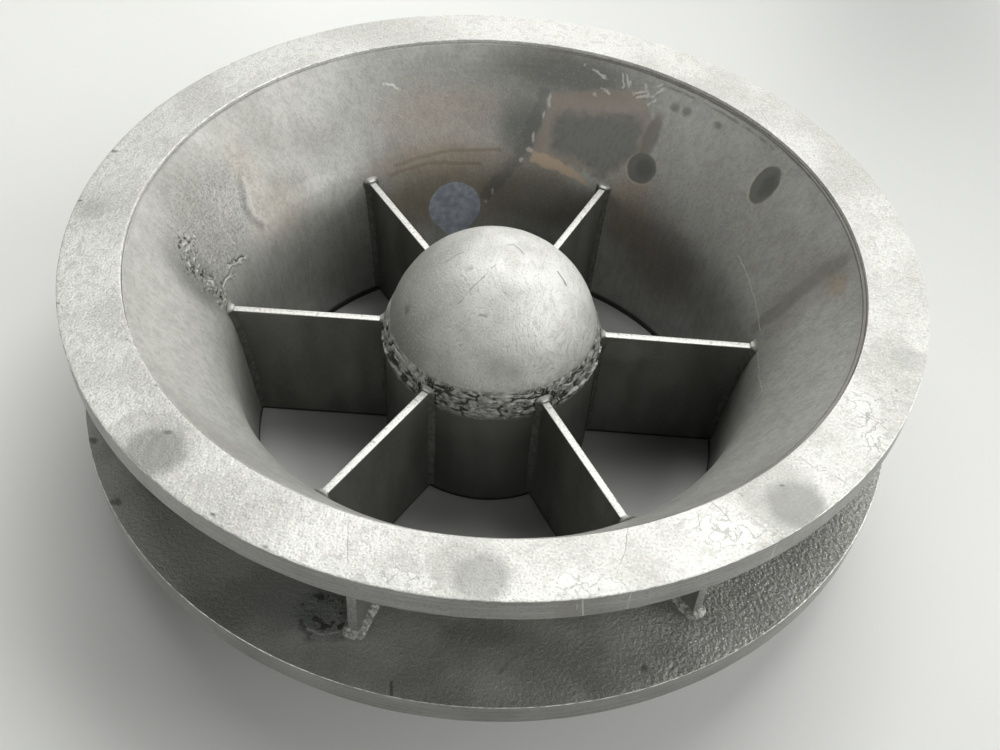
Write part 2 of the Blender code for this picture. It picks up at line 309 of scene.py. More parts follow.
    def most(self, masks):
        """The strongest of several masks."""
        strongest = None
        for mask in masks:
            strongest = mask if strongest is None else self.math("MAXIMUM", strongest, mask)
        return strongest

    def scratches(self, routes, width, ragged, grain=EDGE_GRAIN):
        """Mask of several thin marks of one width."""
        return self.most(self.scratch(route, width, ragged, grain) for route in routes)

    def blend(self, share, first, second):
        """Colour between the first and the second by a share."""
        made = self.nodes.new("ShaderNodeMix")
        made.data_type = "RGBA"
        self.feed(made.inputs[0], share)
        for socket, colour in ((made.inputs[6], first), (made.inputs[7], second)):
            self.feed(socket, (*colour, 1.0) if isinstance(colour, tuple) else colour)
        return made.outputs[2]

    def base(self, value, low, high, first, second):
        """Start the colour: the first where the value is low, the second where it is high."""
        self.colour = self.blend(self.ramp(value, low, high), first, second)

    def lay(self, mask, strength, tint):
        """Lay a tint over the colour where the mask is, at a strength from 0 to 1."""
        self.colour = self.blend(self.times(mask, strength), self.colour, tint)

    def fleck(self, value, none, full, strength, tint):
        """Lay a tint where a value goes from none to full, as on the grains of a noise."""
        self.lay(self.ramp(value, none, full), strength, tint)

    def done(self, roughness, relief, depth):
        """Join colour, gloss and relief to the shader. Depth is the relief's real height."""
        self.feed(self.shader.inputs["Base Color"], self.colour)
        self.feed(self.shader.inputs["Roughness"], roughness)
        bump = self.nodes.new("ShaderNodeBump")
        bump.inputs["Distance"].default_value = depth
        self.feed(bump.inputs["Height"], relief)
        self.links.new(bump.outputs["Normal"], self.shader.inputs["Normal"])
        return self.material


def on_face(x, y):
    """Point on the top flange's upper face."""
    return (x, y, FACE)


def on_lower(x, y):
    """Point on the lower flange's upper face."""
    return (x, y, LOWER_FLANGE_TOP)


def on_bell(azimuth, height):
    """Point of the bell's chart, from an azimuth in degrees, counted from the right, and a height."""
    return (math.radians(90 - azimuth) * CHART_RADIUS, height, 0.0)


def bell_patch(steel, azimuth, height, half_width, half_height, soft, ragged=0.002, grain=EDGE_GRAIN):
    """Mask of an oval mark on the bell's chart."""
    return steel.patch(on_bell(azimuth, height), (half_width, half_height, 1.0), soft, ragged, grain)


def placed(where, routes):
    """The routes of a table as points, by the function that places them."""
    return [[where(*place) for place in route] for route in routes]


# Round contact marks on the top flange's face: (x, y), radius and strength
SMUDGES = (
    ((-0.318, -0.357), 0.038, 0.90),
    ((0.009, -0.472), 0.033, 0.70),
    ((0.306, -0.359), 0.037, 0.85),
    ((0.454, -0.148), 0.025, 0.40),
    ((-0.481, -0.005), 0.022, 0.30),
)
# Flaked areas of the face: (x, y), half sizes, softness and raggedness
FLAKED_AREAS = (
    ((-0.062, -0.484), (0.034, 0.013), 0.4, 0.004),
    ((0.112, -0.474), (0.040, 0.013), 0.4, 0.004),
    ((0.243, -0.402), (0.042, 0.020), 0.5, 0.006),
    ((0.400, -0.250), (0.018, 0.045), 0.5, 0.006),
)
# Cracks in the face, as (x, y) from point to point
FACE_CRACKS = (
    ((0.146, -0.406), (0.143, -0.433), (0.134, -0.462), (0.147, -0.475)),
    ((0.214, -0.383), (0.214, -0.397), (0.220, -0.419)),
    ((0.228, -0.368), (0.239, -0.381), (0.252, -0.402)),
    ((0.320, -0.301), (0.335, -0.316), (0.348, -0.318), (0.364, -0.333)),
    ((0.252, -0.351), (0.259, -0.358)),
    ((0.391, -0.235), (0.408, -0.247)),
    ((0.397, -0.266), (0.405, -0.291)),
    ((-0.116, -0.429), (-0.110, -0.471)),
    ((0.339, 0.302), (0.347, 0.273)),
)
# Small dark chips in the face: (x, y) and size
FACE_CHIPS = (
    ((-0.308, -0.335), 0.0042),
    ((-0.333, -0.275), 0.0026),
    ((-0.484, 0.105), 0.0040),
    ((-0.497, 0.006), 0.0034),
    ((-0.470, -0.168), 0.0034),
    ((-0.242, -0.429), 0.0030),
    ((-0.187, -0.460), 0.0030),
    ((0.298, -0.341), 0.0026),
)


def flaked_face(steel):
    """Pale flakes with fine curled outlines, on the face's front and right."""
    flakes = steel.most(
        steel.patch(on_face(x, y), (half_x, half_y, 0.02), soft, ragged)
        for (x, y), (half_x, half_y), soft, ragged in FLAKED_AREAS
    )
    torn = steel.mottle(0.009, 4, stretch=(1, 1.6, 1))
    steel.fleck(steel.added(torn, 1.6, flakes), 1.30, 1.52, 0.26, (0.84, 0.84, 0.83))
    curls = steel.mottle(0.015, 3)
    outlines = steel.ramp(steel.math("ABSOLUTE", steel.math("SUBTRACT", curls, 0.5)), 0.034, 0.010)
    etched = steel.added(steel.ramp(steel.along("X"), 0.05, 0.35), 0.28, flakes)
    steel.lay(steel.times(outlines, etched), 0.52, (0.24, 0.24, 0.225))


def blasted_flange():
    """Pale grit-blasted flange face, with round contact marks, flakes, cracks, chips and fine flecks."""
    steel = Finish("blasted_flange", 0.30)
    broad = steel.mottle(0.10, 3)
    grit = steel.mottle(0.0026, 2)
    scales = steel.mottle(0.010, 3)
    steel.base(broad, 0.35, 0.65, (0.50, 0.50, 0.48), (0.63, 0.63, 0.612))
    steel.fleck(grit, 0.46, 0.33, 0.50, (0.30, 0.30, 0.285))
    steel.fleck(grit, 0.54, 0.66, 0.45, (0.80, 0.80, 0.79))
    steel.fleck(scales, 0.46, 0.36, 0.35, (0.38, 0.38, 0.365))
    for (x, y), radius, strength in SMUDGES:
        halo = steel.patch(on_face(x - 0.010, y + 0.006), radius * 1.10, 0.12, 0.0015)
        steel.lay(halo, strength * 0.42, (0.345, 0.345, 0.325))
        core = steel.patch(on_face(x + 0.004, y - 0.003), radius * 0.78, 0.30, 0.0025)
        steel.lay(core, strength * 0.75, (0.215, 0.215, 0.205))
    flaked_face(steel)
    steel.lay(steel.scratches(placed(on_face, FACE_CRACKS), 0.0007, 0.0008), 0.50, (0.12, 0.12, 0.11))
    chips = steel.most(
        steel.patch(on_face(x, y), (size, size * 0.6, size), 0.6, 0.0012) for (x, y), size in FACE_CHIPS
    )
    steel.lay(chips, 0.75, (0.11, 0.11, 0.10))
    worn = steel.ramp(steel.mottle(0.08, 2), 0.55, 0.64)
    pits = steel.times(steel.ramp(steel.cells(0.022), 0.09, 0.05), worn)
    steel.lay(pits, 0.7, (0.14, 0.14, 0.13))
    gloss = steel.ramp(broad, 0.3, 0.7, 0.52, 0.42)
    return steel.done(gloss, steel.added(scales, 1.8, grit), 0.0005)


# Pale score lines down the top flange's edge: upper end, lower end and width
EDGE_SCORES = (
    ((0.104, -0.489, 0.333), (0.107, -0.488, 0.303), 0.0010),
    ((0.100, -0.490, 0.325), (0.101, -0.490, 0.308), 0.0007),
    ((0.148, -0.478, 0.333), (0.148, -0.478, 0.303), 0.0009),
    ((0.287, -0.409, 0.329), (0.287, -0.409, 0.302), 0.0009),
)


def turned_edge():
    """Smooth mid-grey edge of the flanges, with faint streaks, a brown patch and pale score lines."""
    steel = Finish("turned_edge", 0.70)
    streaks = steel.mottle(0.03, 4, stretch=(0.3, 0.3, 12))
    cloud = steel.mottle(0.07, 3)
    grit = steel.mottle(0.003, 3)
    tone = steel.math("ADD", steel.times(streaks, 0.5), steel.times(cloud, 0.5))
    steel.base(tone, 0.35, 0.65, (0.235, 0.232, 0.22), (0.335, 0.332, 0.32))
    steel.fleck(grit, 0.46, 0.34, 0.35, (0.14, 0.14, 0.13))
    brown = steel.patch((0.094, -0.491, 0.318), (0.012, 0.02, 0.02), 0.5)
    steel.lay(brown, 0.35, (0.22, 0.20, 0.17))
    scores = steel.most(steel.scratch((upper, lower), width, 0.0003) for upper, lower, width in EDGE_SCORES)
    steel.lay(scores, 0.8, (0.55, 0.55, 0.53))
    return steel.done(0.45, steel.added(grit, 0.6, streaks), 0.0003)


def worn_shaded_arris():
    """Pale rubbed arris along the flanges' upper edges, with painted shade darkening it round the right of
    the bores.
    """
    steel = Finish("worn_shaded_arris", 0.5)
    rub = steel.mottle(0.008, 3)
    steel.base(rub, 0.36, 0.58, (0.34, 0.34, 0.325), (0.72, 0.72, 0.70))
    # Painted shade round the right of the bores, at the steps down to the bell
    bore_shade = steel.ramp(steel.off_axis(), 0.47, 0.45)
    right_side = steel.ramp(steel.along("X"), -0.05, 0.15)
    steel.lay(steel.times(bore_shade, right_side), 0.75, (0.15, 0.14, 0.12))
    return steel.done(0.40, rub, 0.0003)


# Heat tints and stains of the bell's inside, the last a painted lit wedge: azimuth, height, half width,
# half height, tint, strength and softness
BELL_TINTS = (
    (207, 0.245, 0.120, 0.085, (0.62, 0.62, 0.60), 0.65, 0.6),
    (102, 0.275, 0.130, 0.055, (0.28, 0.285, 0.26), 0.58, 0.6),
    (106, 0.140, 0.105, 0.050, (0.33, 0.27, 0.185), 0.70, 0.45),
    (82, 0.150, 0.080, 0.052, (0.21, 0.185, 0.14), 0.75, 0.40),
    (106, 0.198, 0.105, 0.022, (0.31, 0.25, 0.185), 0.70, 0.55),
    (105, 0.250, 0.085, 0.032, (0.40, 0.335, 0.295), 0.55, 0.6),
    (87, 0.232, 0.034, 0.034, (0.15, 0.16, 0.15), 0.85, 0.55),
    (79, 0.306, 0.090, 0.024, (0.15, 0.15, 0.14), 0.80, 0.6),
    (58, 0.168, 0.045, 0.052, (0.30, 0.235, 0.17), 0.60, 0.6),
    (44, 0.120, 0.070, 0.055, (0.26, 0.20, 0.16), 0.50, 0.6),
    (4, 0.265, 0.035, 0.060, (0.27, 0.25, 0.22), 0.45, 0.6),
    (0, 0.300, 0.022, 0.012, (0.38, 0.28, 0.18), 0.50, 0.6),
    (152, 0.205, 0.050, 0.032, (0.42, 0.36, 0.30), 0.45, 0.6),
    (153, 0.270, 0.018, 0.040, (0.50, 0.43, 0.38), 0.40, 0.6),
    (182, 0.238, 0.030, 0.040, (0.16, 0.16, 0.15), 0.75, 0.6),
    # Painted light: a pale wedge at the front right, beside the painted shadow band
    (-26, 0.262, 0.150, 0.070, (0.66, 0.66, 0.64), 0.50, 0.45),
)
# Marks on the bell's chart, each point an azimuth in degrees and a height
PALE_BAND = ((160, 0.212), (140.5, 0.209), (125.0, 0.206))
BROWN_ARCS = (
    ((119.7, 0.187), (109.2, 0.192), (96.7, 0.186)),
    ((118.0, 0.198), (106.5, 0.204), (92.0, 0.206)),
)
GROUND_PATCH = ((84.7, 0.208), (66.3, 0.193), (58.7, 0.233), (58.3, 0.272), (63.7, 0.308), (81.0, 0.279))
DARK_MIDDLE = ((80.0, 0.215), (66.3, 0.195), (59.8, 0.235), (61.5, 0.280), (80.5, 0.256))
TAN_EDGE = ((84.6, 0.209), (84.2, 0.195), (68.4, 0.180), (72.0, 0.194), (81.0, 0.208))
JAGGED_EDGE = (
    (82.0, 0.274), (82.6, 0.257), (84.0, 0.234), (84.7, 0.210), (86.8, 0.192), (90.2, 0.168), (93.9, 0.140),
)
BLUE_TAIL = ((109.6, 0.110), (104.5, 0.066), (101.5, 0.066), (96.8, 0.110), (99.5, 0.125), (107.0, 0.125))
PALE_STROKES = (
    ((76.3, 0.318), (73.2, 0.312), (70.2, 0.306)),
    ((68.6, 0.318), (67.8, 0.305)),
    ((67.6, 0.320), (66.2, 0.302)),
    ((66.6, 0.312), (65.2, 0.299)),
    ((65.4, 0.300), (62.8, 0.310), (60.4, 0.321)),
    ((64.4, 0.298), (61.6, 0.306), (59.6, 0.318)),
    ((63.6, 0.316), (62.6, 0.304)),
    ((61.6, 0.294), (60.8, 0.304)),
    ((74.8, 0.292), (72.6, 0.287)),
    ((72.0, 0.296), (70.0, 0.292)),
    ((117.0, 0.294), (112.1, 0.279)),
)
RIM_STREAKS = (
    ((62.0, 0.3270), (24.0, 0.3270)),
    ((60.0, 0.3215), (34.0, 0.3215)),
)
# Painted cast shadow: a dark band up the right wall, from the right vane's end
PAINTED_SHADOW_BAND = ((4.7, 0.194), (4.5, 0.222), (4.9, 0.258), (5.0, 0.292), (4.2, 0.310))
CREASE = ((155.9, 0.258), (156.4, 0.248), (158.2, 0.234), (158.6, 0.220), (157.0, 0.206))
# Long thin scratches: route, width and raggedness
BELL_LINES = (
    (((24.3, 0.213), (3.2, 0.197)), 0.0012, 0.001),
    (((-1.8, 0.187), (-10.0, 0.192), (-16.0, 0.203)), 0.0014, 0.002),
    (((208.0, 0.243), (222.8, 0.225)), 0.0009, 0.0006),
    (((206.0, 0.232), (219.0, 0.218)), 0.0008, 0.0006),
)
# Broken chips along the ground patch's jagged edge: azimuth, height, half width, half height
EDGE_CHIPS = (
    (82.0, 0.270, 0.0022, 0.0075),
    (82.8, 0.252, 0.0018, 0.0050),
    (84.3, 0.226, 0.0022, 0.0055),
    (84.8, 0.210, 0.0045, 0.0035),
    (86.6, 0.196, 0.0035, 0.0030),
    (93.4, 0.146, 0.0022, 0.0050),
    (95.0, 0.128, 0.0025, 0.0030),
)
DARK_OVALS = (
    (57.6, 0.225, 0.0225, 0.0180),
    (30.5, 0.287, 0.0170, 0.0235),
)
DARK_DOTS = (
    (56.3, 0.304, 0.0060, 0.0052),
    (53.6, 0.305, 0.0060, 0.0052),
    (46.6, 0.308, 0.0052, 0.0042),
)
# Scar in the wall: its crumbled left side, its proud chips, as azimuth, height and size, and its gouges
CRUMBLED = ((176.5, 0.268), (180.6, 0.250), (180.6, 0.226), (180.4, 0.202))
SCAR_CHIPS = (
    (174.0, 0.260, 0.0040),
    (177.6, 0.268, 0.0036),
    (169.9, 0.247, 0.0030),
    (166.9, 0.217, 0.0032),
    (179.4, 0.243, 0.0030),
    (176.0, 0.252, 0.0026),
)
SCAR_GOUGES = (
    ((170.6, 0.2065), (168.0, 0.2010), (165.4, 0.1965)),
    ((172.4, 0.2110), (169.4, 0.2060)),
    ((177.6, 0.2080), (174.8, 0.2050), (172.6, 0.2000)),
)


def heat_tints(steel):
    """Pale band, broad heat tints and stains of the bell, and a painted lit wedge at the front right."""
    steel.lay(steel.scratches(placed(on_bell, [PALE_BAND]), 0.0130, 0.002), 0.30, (0.62, 0.62, 0.60))
    for azimuth, height, half_width, half_height, tint, strength, soft in BELL_TINTS:
        mask = bell_patch(steel, azimuth, height, half_width, half_height, soft, 0.006, 0.05)
        steel.lay(mask, strength, tint)


def ground_patch(steel, pebbles):
    """Brown ground patch with a dark middle, a tan edge below and a jagged, chipped edge at its left, with
    painted shade just beyond that edge.
    """
    corners, middle, tan = placed(on_bell, (GROUND_PATCH, DARK_MIDDLE, TAN_EDGE))
    steel.lay(steel.area(corners, 0.003, 0.003), 0.70, (0.33, 0.28, 0.24))
    worn = steel.area(middle, 0.010, 0.005)
    steel.lay(worn, 0.78, (0.165, 0.175, 0.17))
    steel.lay(steel.times(worn, steel.ramp(pebbles, 0.52, 0.34)), 0.22, (0.10, 0.105, 0.10))
    steel.lay(bell_patch(steel, 58.5, 0.262, 0.010, 0.028, 0.3), 0.70, (0.17, 0.155, 0.14))
    steel.lay(steel.area(tan, 0.0025, 0.002), 0.75, (0.56, 0.43, 0.31))
    # Painted shade just beyond the jagged edge, to its left
    painted_shade_beside = [on_bell(azimuth + 1.2, height) for azimuth, height in JAGGED_EDGE]
    steel.lay(steel.scratch(painted_shade_beside, 0.0130, 0.005), 0.45, (0.13, 0.13, 0.125))
    chips = steel.most(bell_patch(steel, *chip, 0.5, 0.0024) for chip in EDGE_CHIPS)
    steel.lay(chips, 0.75, (0.60, 0.56, 0.51))


def blue_patch(steel):
    """Round pale blue mark with a tail that narrows downwards."""
    blue = steel.most([
        bell_patch(steel, 103.2, 0.121, 0.0435, 0.0405, 0.03, 0.0006),
        steel.area([on_bell(*place) for place in BLUE_TAIL], 0.0012, 0.0006),
    ])
    rub = steel.ramp(steel.mottle(0.010, 4), 0.33, 0.67)
    steel.lay(blue, 1.0, steel.blend(rub, (0.40, 0.44, 0.53), (0.60, 0.65, 0.74)))


def dark_ovals(steel):
    """Dark oval marks with a pale rim, and three small dark dots near the bell's edge."""
    for azimuth, height, half_width, half_height in DARK_OVALS:
        x, y, z = on_bell(azimuth, height)
        rim = (half_width + 0.001, half_height + 0.001, 1.0)
        steel.lay(steel.patch((x - 0.0015, y - 0.0015, z), rim, 0.06, 0.001), 0.45, (0.52, 0.46, 0.38))
        oval = steel.patch((x, y, z), (half_width, half_height, 1.0), 0.08, 0.001)
        steel.lay(oval, 0.88, (0.12, 0.125, 0.12))
        middle = (half_width * 0.6, half_height * 0.6, 1.0)
        steel.lay(steel.patch((x + 0.004, y + 0.002, z), middle, 0.4, 0.002), 0.5, (0.07, 0.075, 0.07))
    dots = steel.most(bell_patch(steel, *dot, 0.5, 0.001) for dot in DARK_DOTS)
    steel.lay(dots, 0.60, (0.12, 0.12, 0.11))


def bell_strokes(steel, cloud):
    """Pale strokes at the rear, a painted shadow band and long scratches at the right, dark streaks at the
    rim.
    """
    broken = steel.ramp(cloud, 0.38, 0.55)
    strokes = steel.scratches(placed(on_bell, PALE_STROKES), 0.0019, 0.0022)
    steel.lay(steel.times(strokes, broken), 0.65, (0.70, 0.70, 0.68))
    # Painted cast shadow band up the right wall
    steel.lay(steel.scratches(placed(on_bell, [PAINTED_SHADOW_BAND]), 0.0150, 0.003, 0.05), 0.40, (0.15, 0.15, 0.14))
    lines = steel.most(
        steel.scratch([on_bell(*place) for place in route], width, ragged)
        for route, width, ragged in BELL_LINES
    )
    steel.lay(lines, 0.50, (0.66, 0.65, 0.62))
    streaks = steel.scratches(placed(on_bell, RIM_STREAKS), 0.0022, 0.0006)
    steel.lay(steel.times(streaks, broken), 0.45, (0.11, 0.11, 0.105))


def scarred_wall(steel, fine, granular):
    """Creased and granular wall at the left, with painted shade along the crease and in its hollows, and
    painted highlights beside the crease and on its proud chips.
    """
    # Painted shade along the crease, and a painted highlight on its lit side
    steel.lay(steel.scratches(placed(on_bell, [CREASE]), 0.0085, 0.001), 0.30, (0.16, 0.16, 0.15))
    lit_side = [on_bell(azimuth - 1.5, height) for azimuth, height in CREASE]
    steel.lay(steel.scratch(lit_side, 0.0050, 0.001), 0.25, (0.66, 0.66, 0.64))
    steel.lay(steel.times(granular, steel.ramp(fine, 0.52, 0.38)), 0.28, (0.14, 0.14, 0.13))
    # Painted shade in the scar's hollows, and painted highlights on its proud chips
    steel.fleck(steel.noted("hollow"), 0.60, 1.5, 0.88, (0.07, 0.07, 0.065))
    steel.fleck(steel.noted("proud"), 0.45, 1.1, 0.50, (0.70, 0.70, 0.68))


def bell_plate():
    """Inside of the bell: grey rolled plate with heat tints, a ground patch, marks, scars and stains, and
    painted light and shade.
    """
    steel = Finish("bell_plate", 0.45)
    steel.unroll(CHART_RADIUS)
    height = steel.along("Z")
    broad = steel.mottle(0.14, 3)
    fine = steel.mottle(0.0032, 2)
    cloud = steel.mottle(0.018, 3)
    pebbles = steel.mottle(0.006, 2, stretch=(1, 1, 0.5))
    granular = bell_patch(steel, 167, 0.258, 0.085, 0.050, 0.5, 0)
    steel.base(broad, 0.35, 0.65, (0.365, 0.363, 0.345), (0.475, 0.475, 0.46))
    heat_tints(steel)
    steel.fleck(steel.mottle(0.006, 3, stretch=(1, 1, 0.12)), 0.54, 0.40, 0.16, (0.16, 0.16, 0.15))
    steel.fleck(cloud, 0.55, 0.40, 0.15, (0.22, 0.22, 0.205))
    steel.fleck(fine, 0.55, 0.68, 0.12, (0.62, 0.62, 0.60))
    steel.fleck(fine, 0.45, 0.33, 0.20, (0.17, 0.17, 0.16))
    steel.lay(steel.scratches(placed(on_bell, BROWN_ARCS), 0.0035, 0.003, 0.05), 0.45, (0.19, 0.15, 0.11))
    ground_patch(steel, pebbles)
    blue_patch(steel)
    dark_ovals(steel)
    bell_strokes(steel, cloud)
    scarred_wall(steel, fine, granular)
    # Painted black contact shade at the spigot's foot, where it stands on the floor
    steel.fleck(height, 0.013, 0.006, 0.9, (0.02, 0.02, 0.02))
    # Painted shade of the step under the top flange's bore, round the right of the bell's top
    lip = steel.ramp(height, BELL_TOP - 0.0022, BELL_TOP - 0.0008)
    steel.lay(steel.times(lip, steel.ramp(steel.along("X"), -0.05, 0.15)), 0.75, (0.11, 0.10, 0.085))

    rings = steel.mottle(0.0045, 0, at=steel.node("ShaderNodeCombineXYZ", (0.0, 0.0, height)).outputs[0])
    relief = steel.times(steel.times(rings, steel.ramp(height, 0.275, 0.315)), 1.2)
    relief = steel.added(fine, steel.added(granular, 4.0, 0.9), relief)
    lumpy = bell_patch(steel, 70.0, 0.240, 0.065, 0.036, 0.3, 0)
    relief = steel.added(steel.times(lumpy, pebbles), 3.5, relief)
    gloss = steel.ramp(broad, 0.3, 0.7, 0.58, 0.48)
    return steel.done(gloss, relief, 0.0004)


def bell_back():
    """Outside of the bell: plain grey rolled plate with faint upright streaks."""
    steel = Finish("bell_back", 0.5)
    grit = steel.mottle(0.003, 2)
    streaks = steel.mottle(0.04, 3, stretch=(1, 1, 0.4))
    steel.base(streaks, 0.3, 0.7, (0.22, 0.22, 0.207), (0.33, 0.33, 0.315))
    steel.fleck(grit, 0.46, 0.34, 0.35, (0.14, 0.14, 0.13))
    return steel.done(0.5, grit, 0.0003)


def painted_foot_shade(steel, none, full):
    """Painted black contact shade at a piece's foot, where it nearly meets the floor, from none at one
    height to full at a lower one.
    """
    steel.fleck(steel.along("Z"), none, full, 0.9, (0.012, 0.012, 0.012))


# Pale dashes on the front of the right vane: start, end
VANE_DASHES = (
    ((0.205, -0.005, 0.158), (0.250, -0.005, 0.156)),
    ((0.262, -0.005, 0.155), (0.285, -0.005, 0.154)),
)


def dark_plate():
    """Mill-dark plate of the vanes and gussets, with faint streaks, a paler smear and painted black contact
    shade at the foot.
    """
    steel = Finish("dark_plate", 0.6)
    fine = steel.mottle(0.004, 3)
    streaks = steel.mottle(0.05, 3, stretch=(1, 1, 0.35))
    steel.base(streaks, 0.3, 0.7, (0.140, 0.143, 0.128), (0.212, 0.214, 0.198))
    steel.fleck(fine, 0.52, 0.68, 0.16, (0.34, 0.34, 0.32))
    smear = steel.patch((0.165, 0.0, 0.165), (0.040, 0.02, 0.018), 0.5, 0.004)
    steel.lay(smear, 0.45, (0.34, 0.34, 0.32))
    steel.lay(steel.scratches(VANE_DASHES, 0.0010, 0.0004), 0.7, (0.62, 0.62, 0.60))
    # Painted black contact shade along the foot
    painted_foot_shade(steel, 0.009, 0.005)
    return steel.done(0.5, steel.added(steel.mottle(0.02, 3), 1.5, fine), 0.0002)


def bright_edge():
    """Pale blasted edge of a vane, with small dark nicks and painted black contact shade at its foot."""
    steel = Finish("bright_edge", 0.35)
    grit = steel.mottle(0.0035, 4)
    steel.base(grit, 0.36, 0.60, (0.60, 0.60, 0.58), (0.76, 0.76, 0.74))
    steel.fleck(steel.mottle(0.007, 3), 0.38, 0.32, 0.4, (0.26, 0.26, 0.245))
    # Painted black contact shade along the foot
    painted_foot_shade(steel, 0.009, 0.005)
    return steel.done(0.45, grit, 0.0003)


def grey_edge():
    """Mid-grey flame-cut edge of a gusset."""
    steel = Finish("grey_edge", 0.5)
    grit = steel.mottle(0.004, 4)
    steel.base(grit, 0.34, 0.64, (0.23, 0.23, 0.22), (0.33, 0.33, 0.315))
    return steel.done(0.5, grit, 0.0004)


# Dark strokes on the nose: route, width and strength
DOME_STROKES = (
    (((-0.002, -0.022, 0.308), (-0.023, -0.049, 0.298), (-0.041, -0.067, 0.284)), 0.00105, 0.55),
    (((0.074, -0.002, 0.287), (0.085, -0.014, 0.278)), 0.0021, 0.70),
    (((0.011, 0.016, 0.308), (0.018, 0.019, 0.307), (0.026, 0.010, 0.307), (0.031, 0.004, 0.306)),
     0.0015, 0.55),
    (((-0.062, -0.008, 0.294), (-0.050, -0.001, 0.300), (-0.039, 0.002, 0.304)), 0.0015, 0.40),
    (((-0.015, -0.081, 0.281), (-0.006, -0.083, 0.281)), 0.0018, 0.50),
    (((0.012, -0.056, 0.297), (0.017, -0.060, 0.295)), 0.0015, 0.45),
    (((-0.036, -0.104, 0.252), (-0.028, -0.101, 0.256)), 0.0015, 0.40),
)
# Dark spots on the nose: centre, radius and strength
DOME_SPOTS = (
    ((-0.104, -0.046, 0.246), 0.0055, 0.60),
    ((-0.031, -0.026, 0.303), 0.0035, 0.40),
    ((-0.042, -0.087, 0.270), 0.0022, 0.60),
    ((0.012, -0.122, 0.232), 0.0150, 0.25),
    ((0.026, -0.119, 0.230), 0.0110, 0.25),
)


def dome_marks(steel):
    """Mask of the nose's dark strokes and spots, each at its own strength."""
    marks = [steel.times(steel.scratch(route, width, 0.0010), strength)
             for route, width, strength in DOME_STROKES]
    marks += [steel.times(steel.patch(centre, radius, 0.6, 0.0030), strength)
              for centre, radius, strength in DOME_SPOTS]
    return steel.most(marks)


def blasted_dome():
    """Pale blasted nose, with painted shade darkening its left side and darker low down, with scratches,
    dark marks and swirls on its right half.
    """
    steel = Finish("blasted_dome", 0.20)
    side = steel.along("X")
    broad = steel.mottle(0.05, 3)
    grit = steel.mottle(0.0026, 2)
    swirl = steel.mottle(0.0045, 3, stretch=(1, 0.16, 0.6), at=steel.wavy(0.012, 0.05))
    swirled = steel.ramp(steel.added(broad, 0.06, side), 0.055, 0.075)
    steel.base(broad, 0.33, 0.67, (0.56, 0.56, 0.54), (0.74, 0.74, 0.725))
    # Painted shade on the nose's left side
    steel.fleck(side, -0.01, -0.125, 0.82, (0.25, 0.25, 0.235))
    steel.fleck(grit, 0.45, 0.33, 0.35, (0.28, 0.28, 0.265))
    steel.fleck(grit, 0.56, 0.68, 0.30, (0.80, 0.80, 0.79))
    lines = steel.times(steel.added(swirled, 0.65, 0.35), steel.ramp(swirl, 0.46, 0.36))
    steel.lay(lines, 0.24, (0.30, 0.30, 0.285))
    steel.lay(dome_marks(steel), 1.0, (0.13, 0.13, 0.12))
    steel.fleck(steel.added(swirl, 0.03, steel.along("Z")), 0.232, 0.212, 0.35, (0.28, 0.28, 0.265))
    relief = steel.added(steel.times(swirl, steel.math("ADD", swirled, 0.6)), 1.9, grit)
    gloss = steel.ramp(broad, 0.3, 0.7, 0.58, 0.48)
    return steel.done(gloss, relief, 0.0005)


def dark_pipe():
    """Dark pipe barrel below the nose, paler towards its top, with painted black contact shade at its foot.
    """
    steel = Finish("dark_pipe", 0.6)
    streaks = steel.mottle(0.05, 3, stretch=(1, 1, 0.3))
    steel.base(streaks, 0.3, 0.7, (0.097, 0.098, 0.090), (0.150, 0.151, 0.140))
    steel.fleck(steel.along("Z"), 0.10, 0.165, 0.55, (0.25, 0.25, 0.235))
    # Painted black contact shade along the foot
    painted_foot_shade(steel, 0.009, 0.004)
    return steel.done(0.48, steel.added(steel.mottle(0.02, 3), 1.5, steel.mottle(0.003, 3)), 0.0003)


# Marks on the lower flange, as (x, y): the lumpy patch's edge, a curved dark stroke, the notch
PATCH_EDGE = ((-0.176, -0.428), (-0.150, -0.436), (-0.133, -0.431))
DARK_CURVE = ((0.038, -0.464), (0.052, -0.444), (0.071, -0.434))
NOTCH = ((-0.071, -0.484), (-0.069, -0.500))
# Pits in the lower flange: (x, y), radius and raggedness
LOWER_PITS = (
    ((-0.456, -0.203), 0.0050, 0.0040),
    ((-0.407, -0.288), 0.0060, 0.0050),
    ((0.188, -0.445), 0.0034, 0.0014),
)


def lumpy_patch(steel):
    """Cool dark patch beside a gusset, with black holes and a pale edge line."""
    cool = steel.patch(on_lower(-0.185, -0.400), (0.034, 0.030, 0.02), 0.5, 0.006)
    steel.lay(cool, 0.5, (0.19, 0.205, 0.215))
    dark = steel.patch(on_lower(-0.150, -0.412), (0.030, 0.030, 0.02), 0.35, 0.006)
    steel.lay(dark, 0.70, (0.13, 0.14, 0.14))
    steel.lay(steel.scratches(placed(on_lower, [PATCH_EDGE]), 0.0016, 0.0012), 0.6, (0.42, 0.42, 0.40))
    return dark


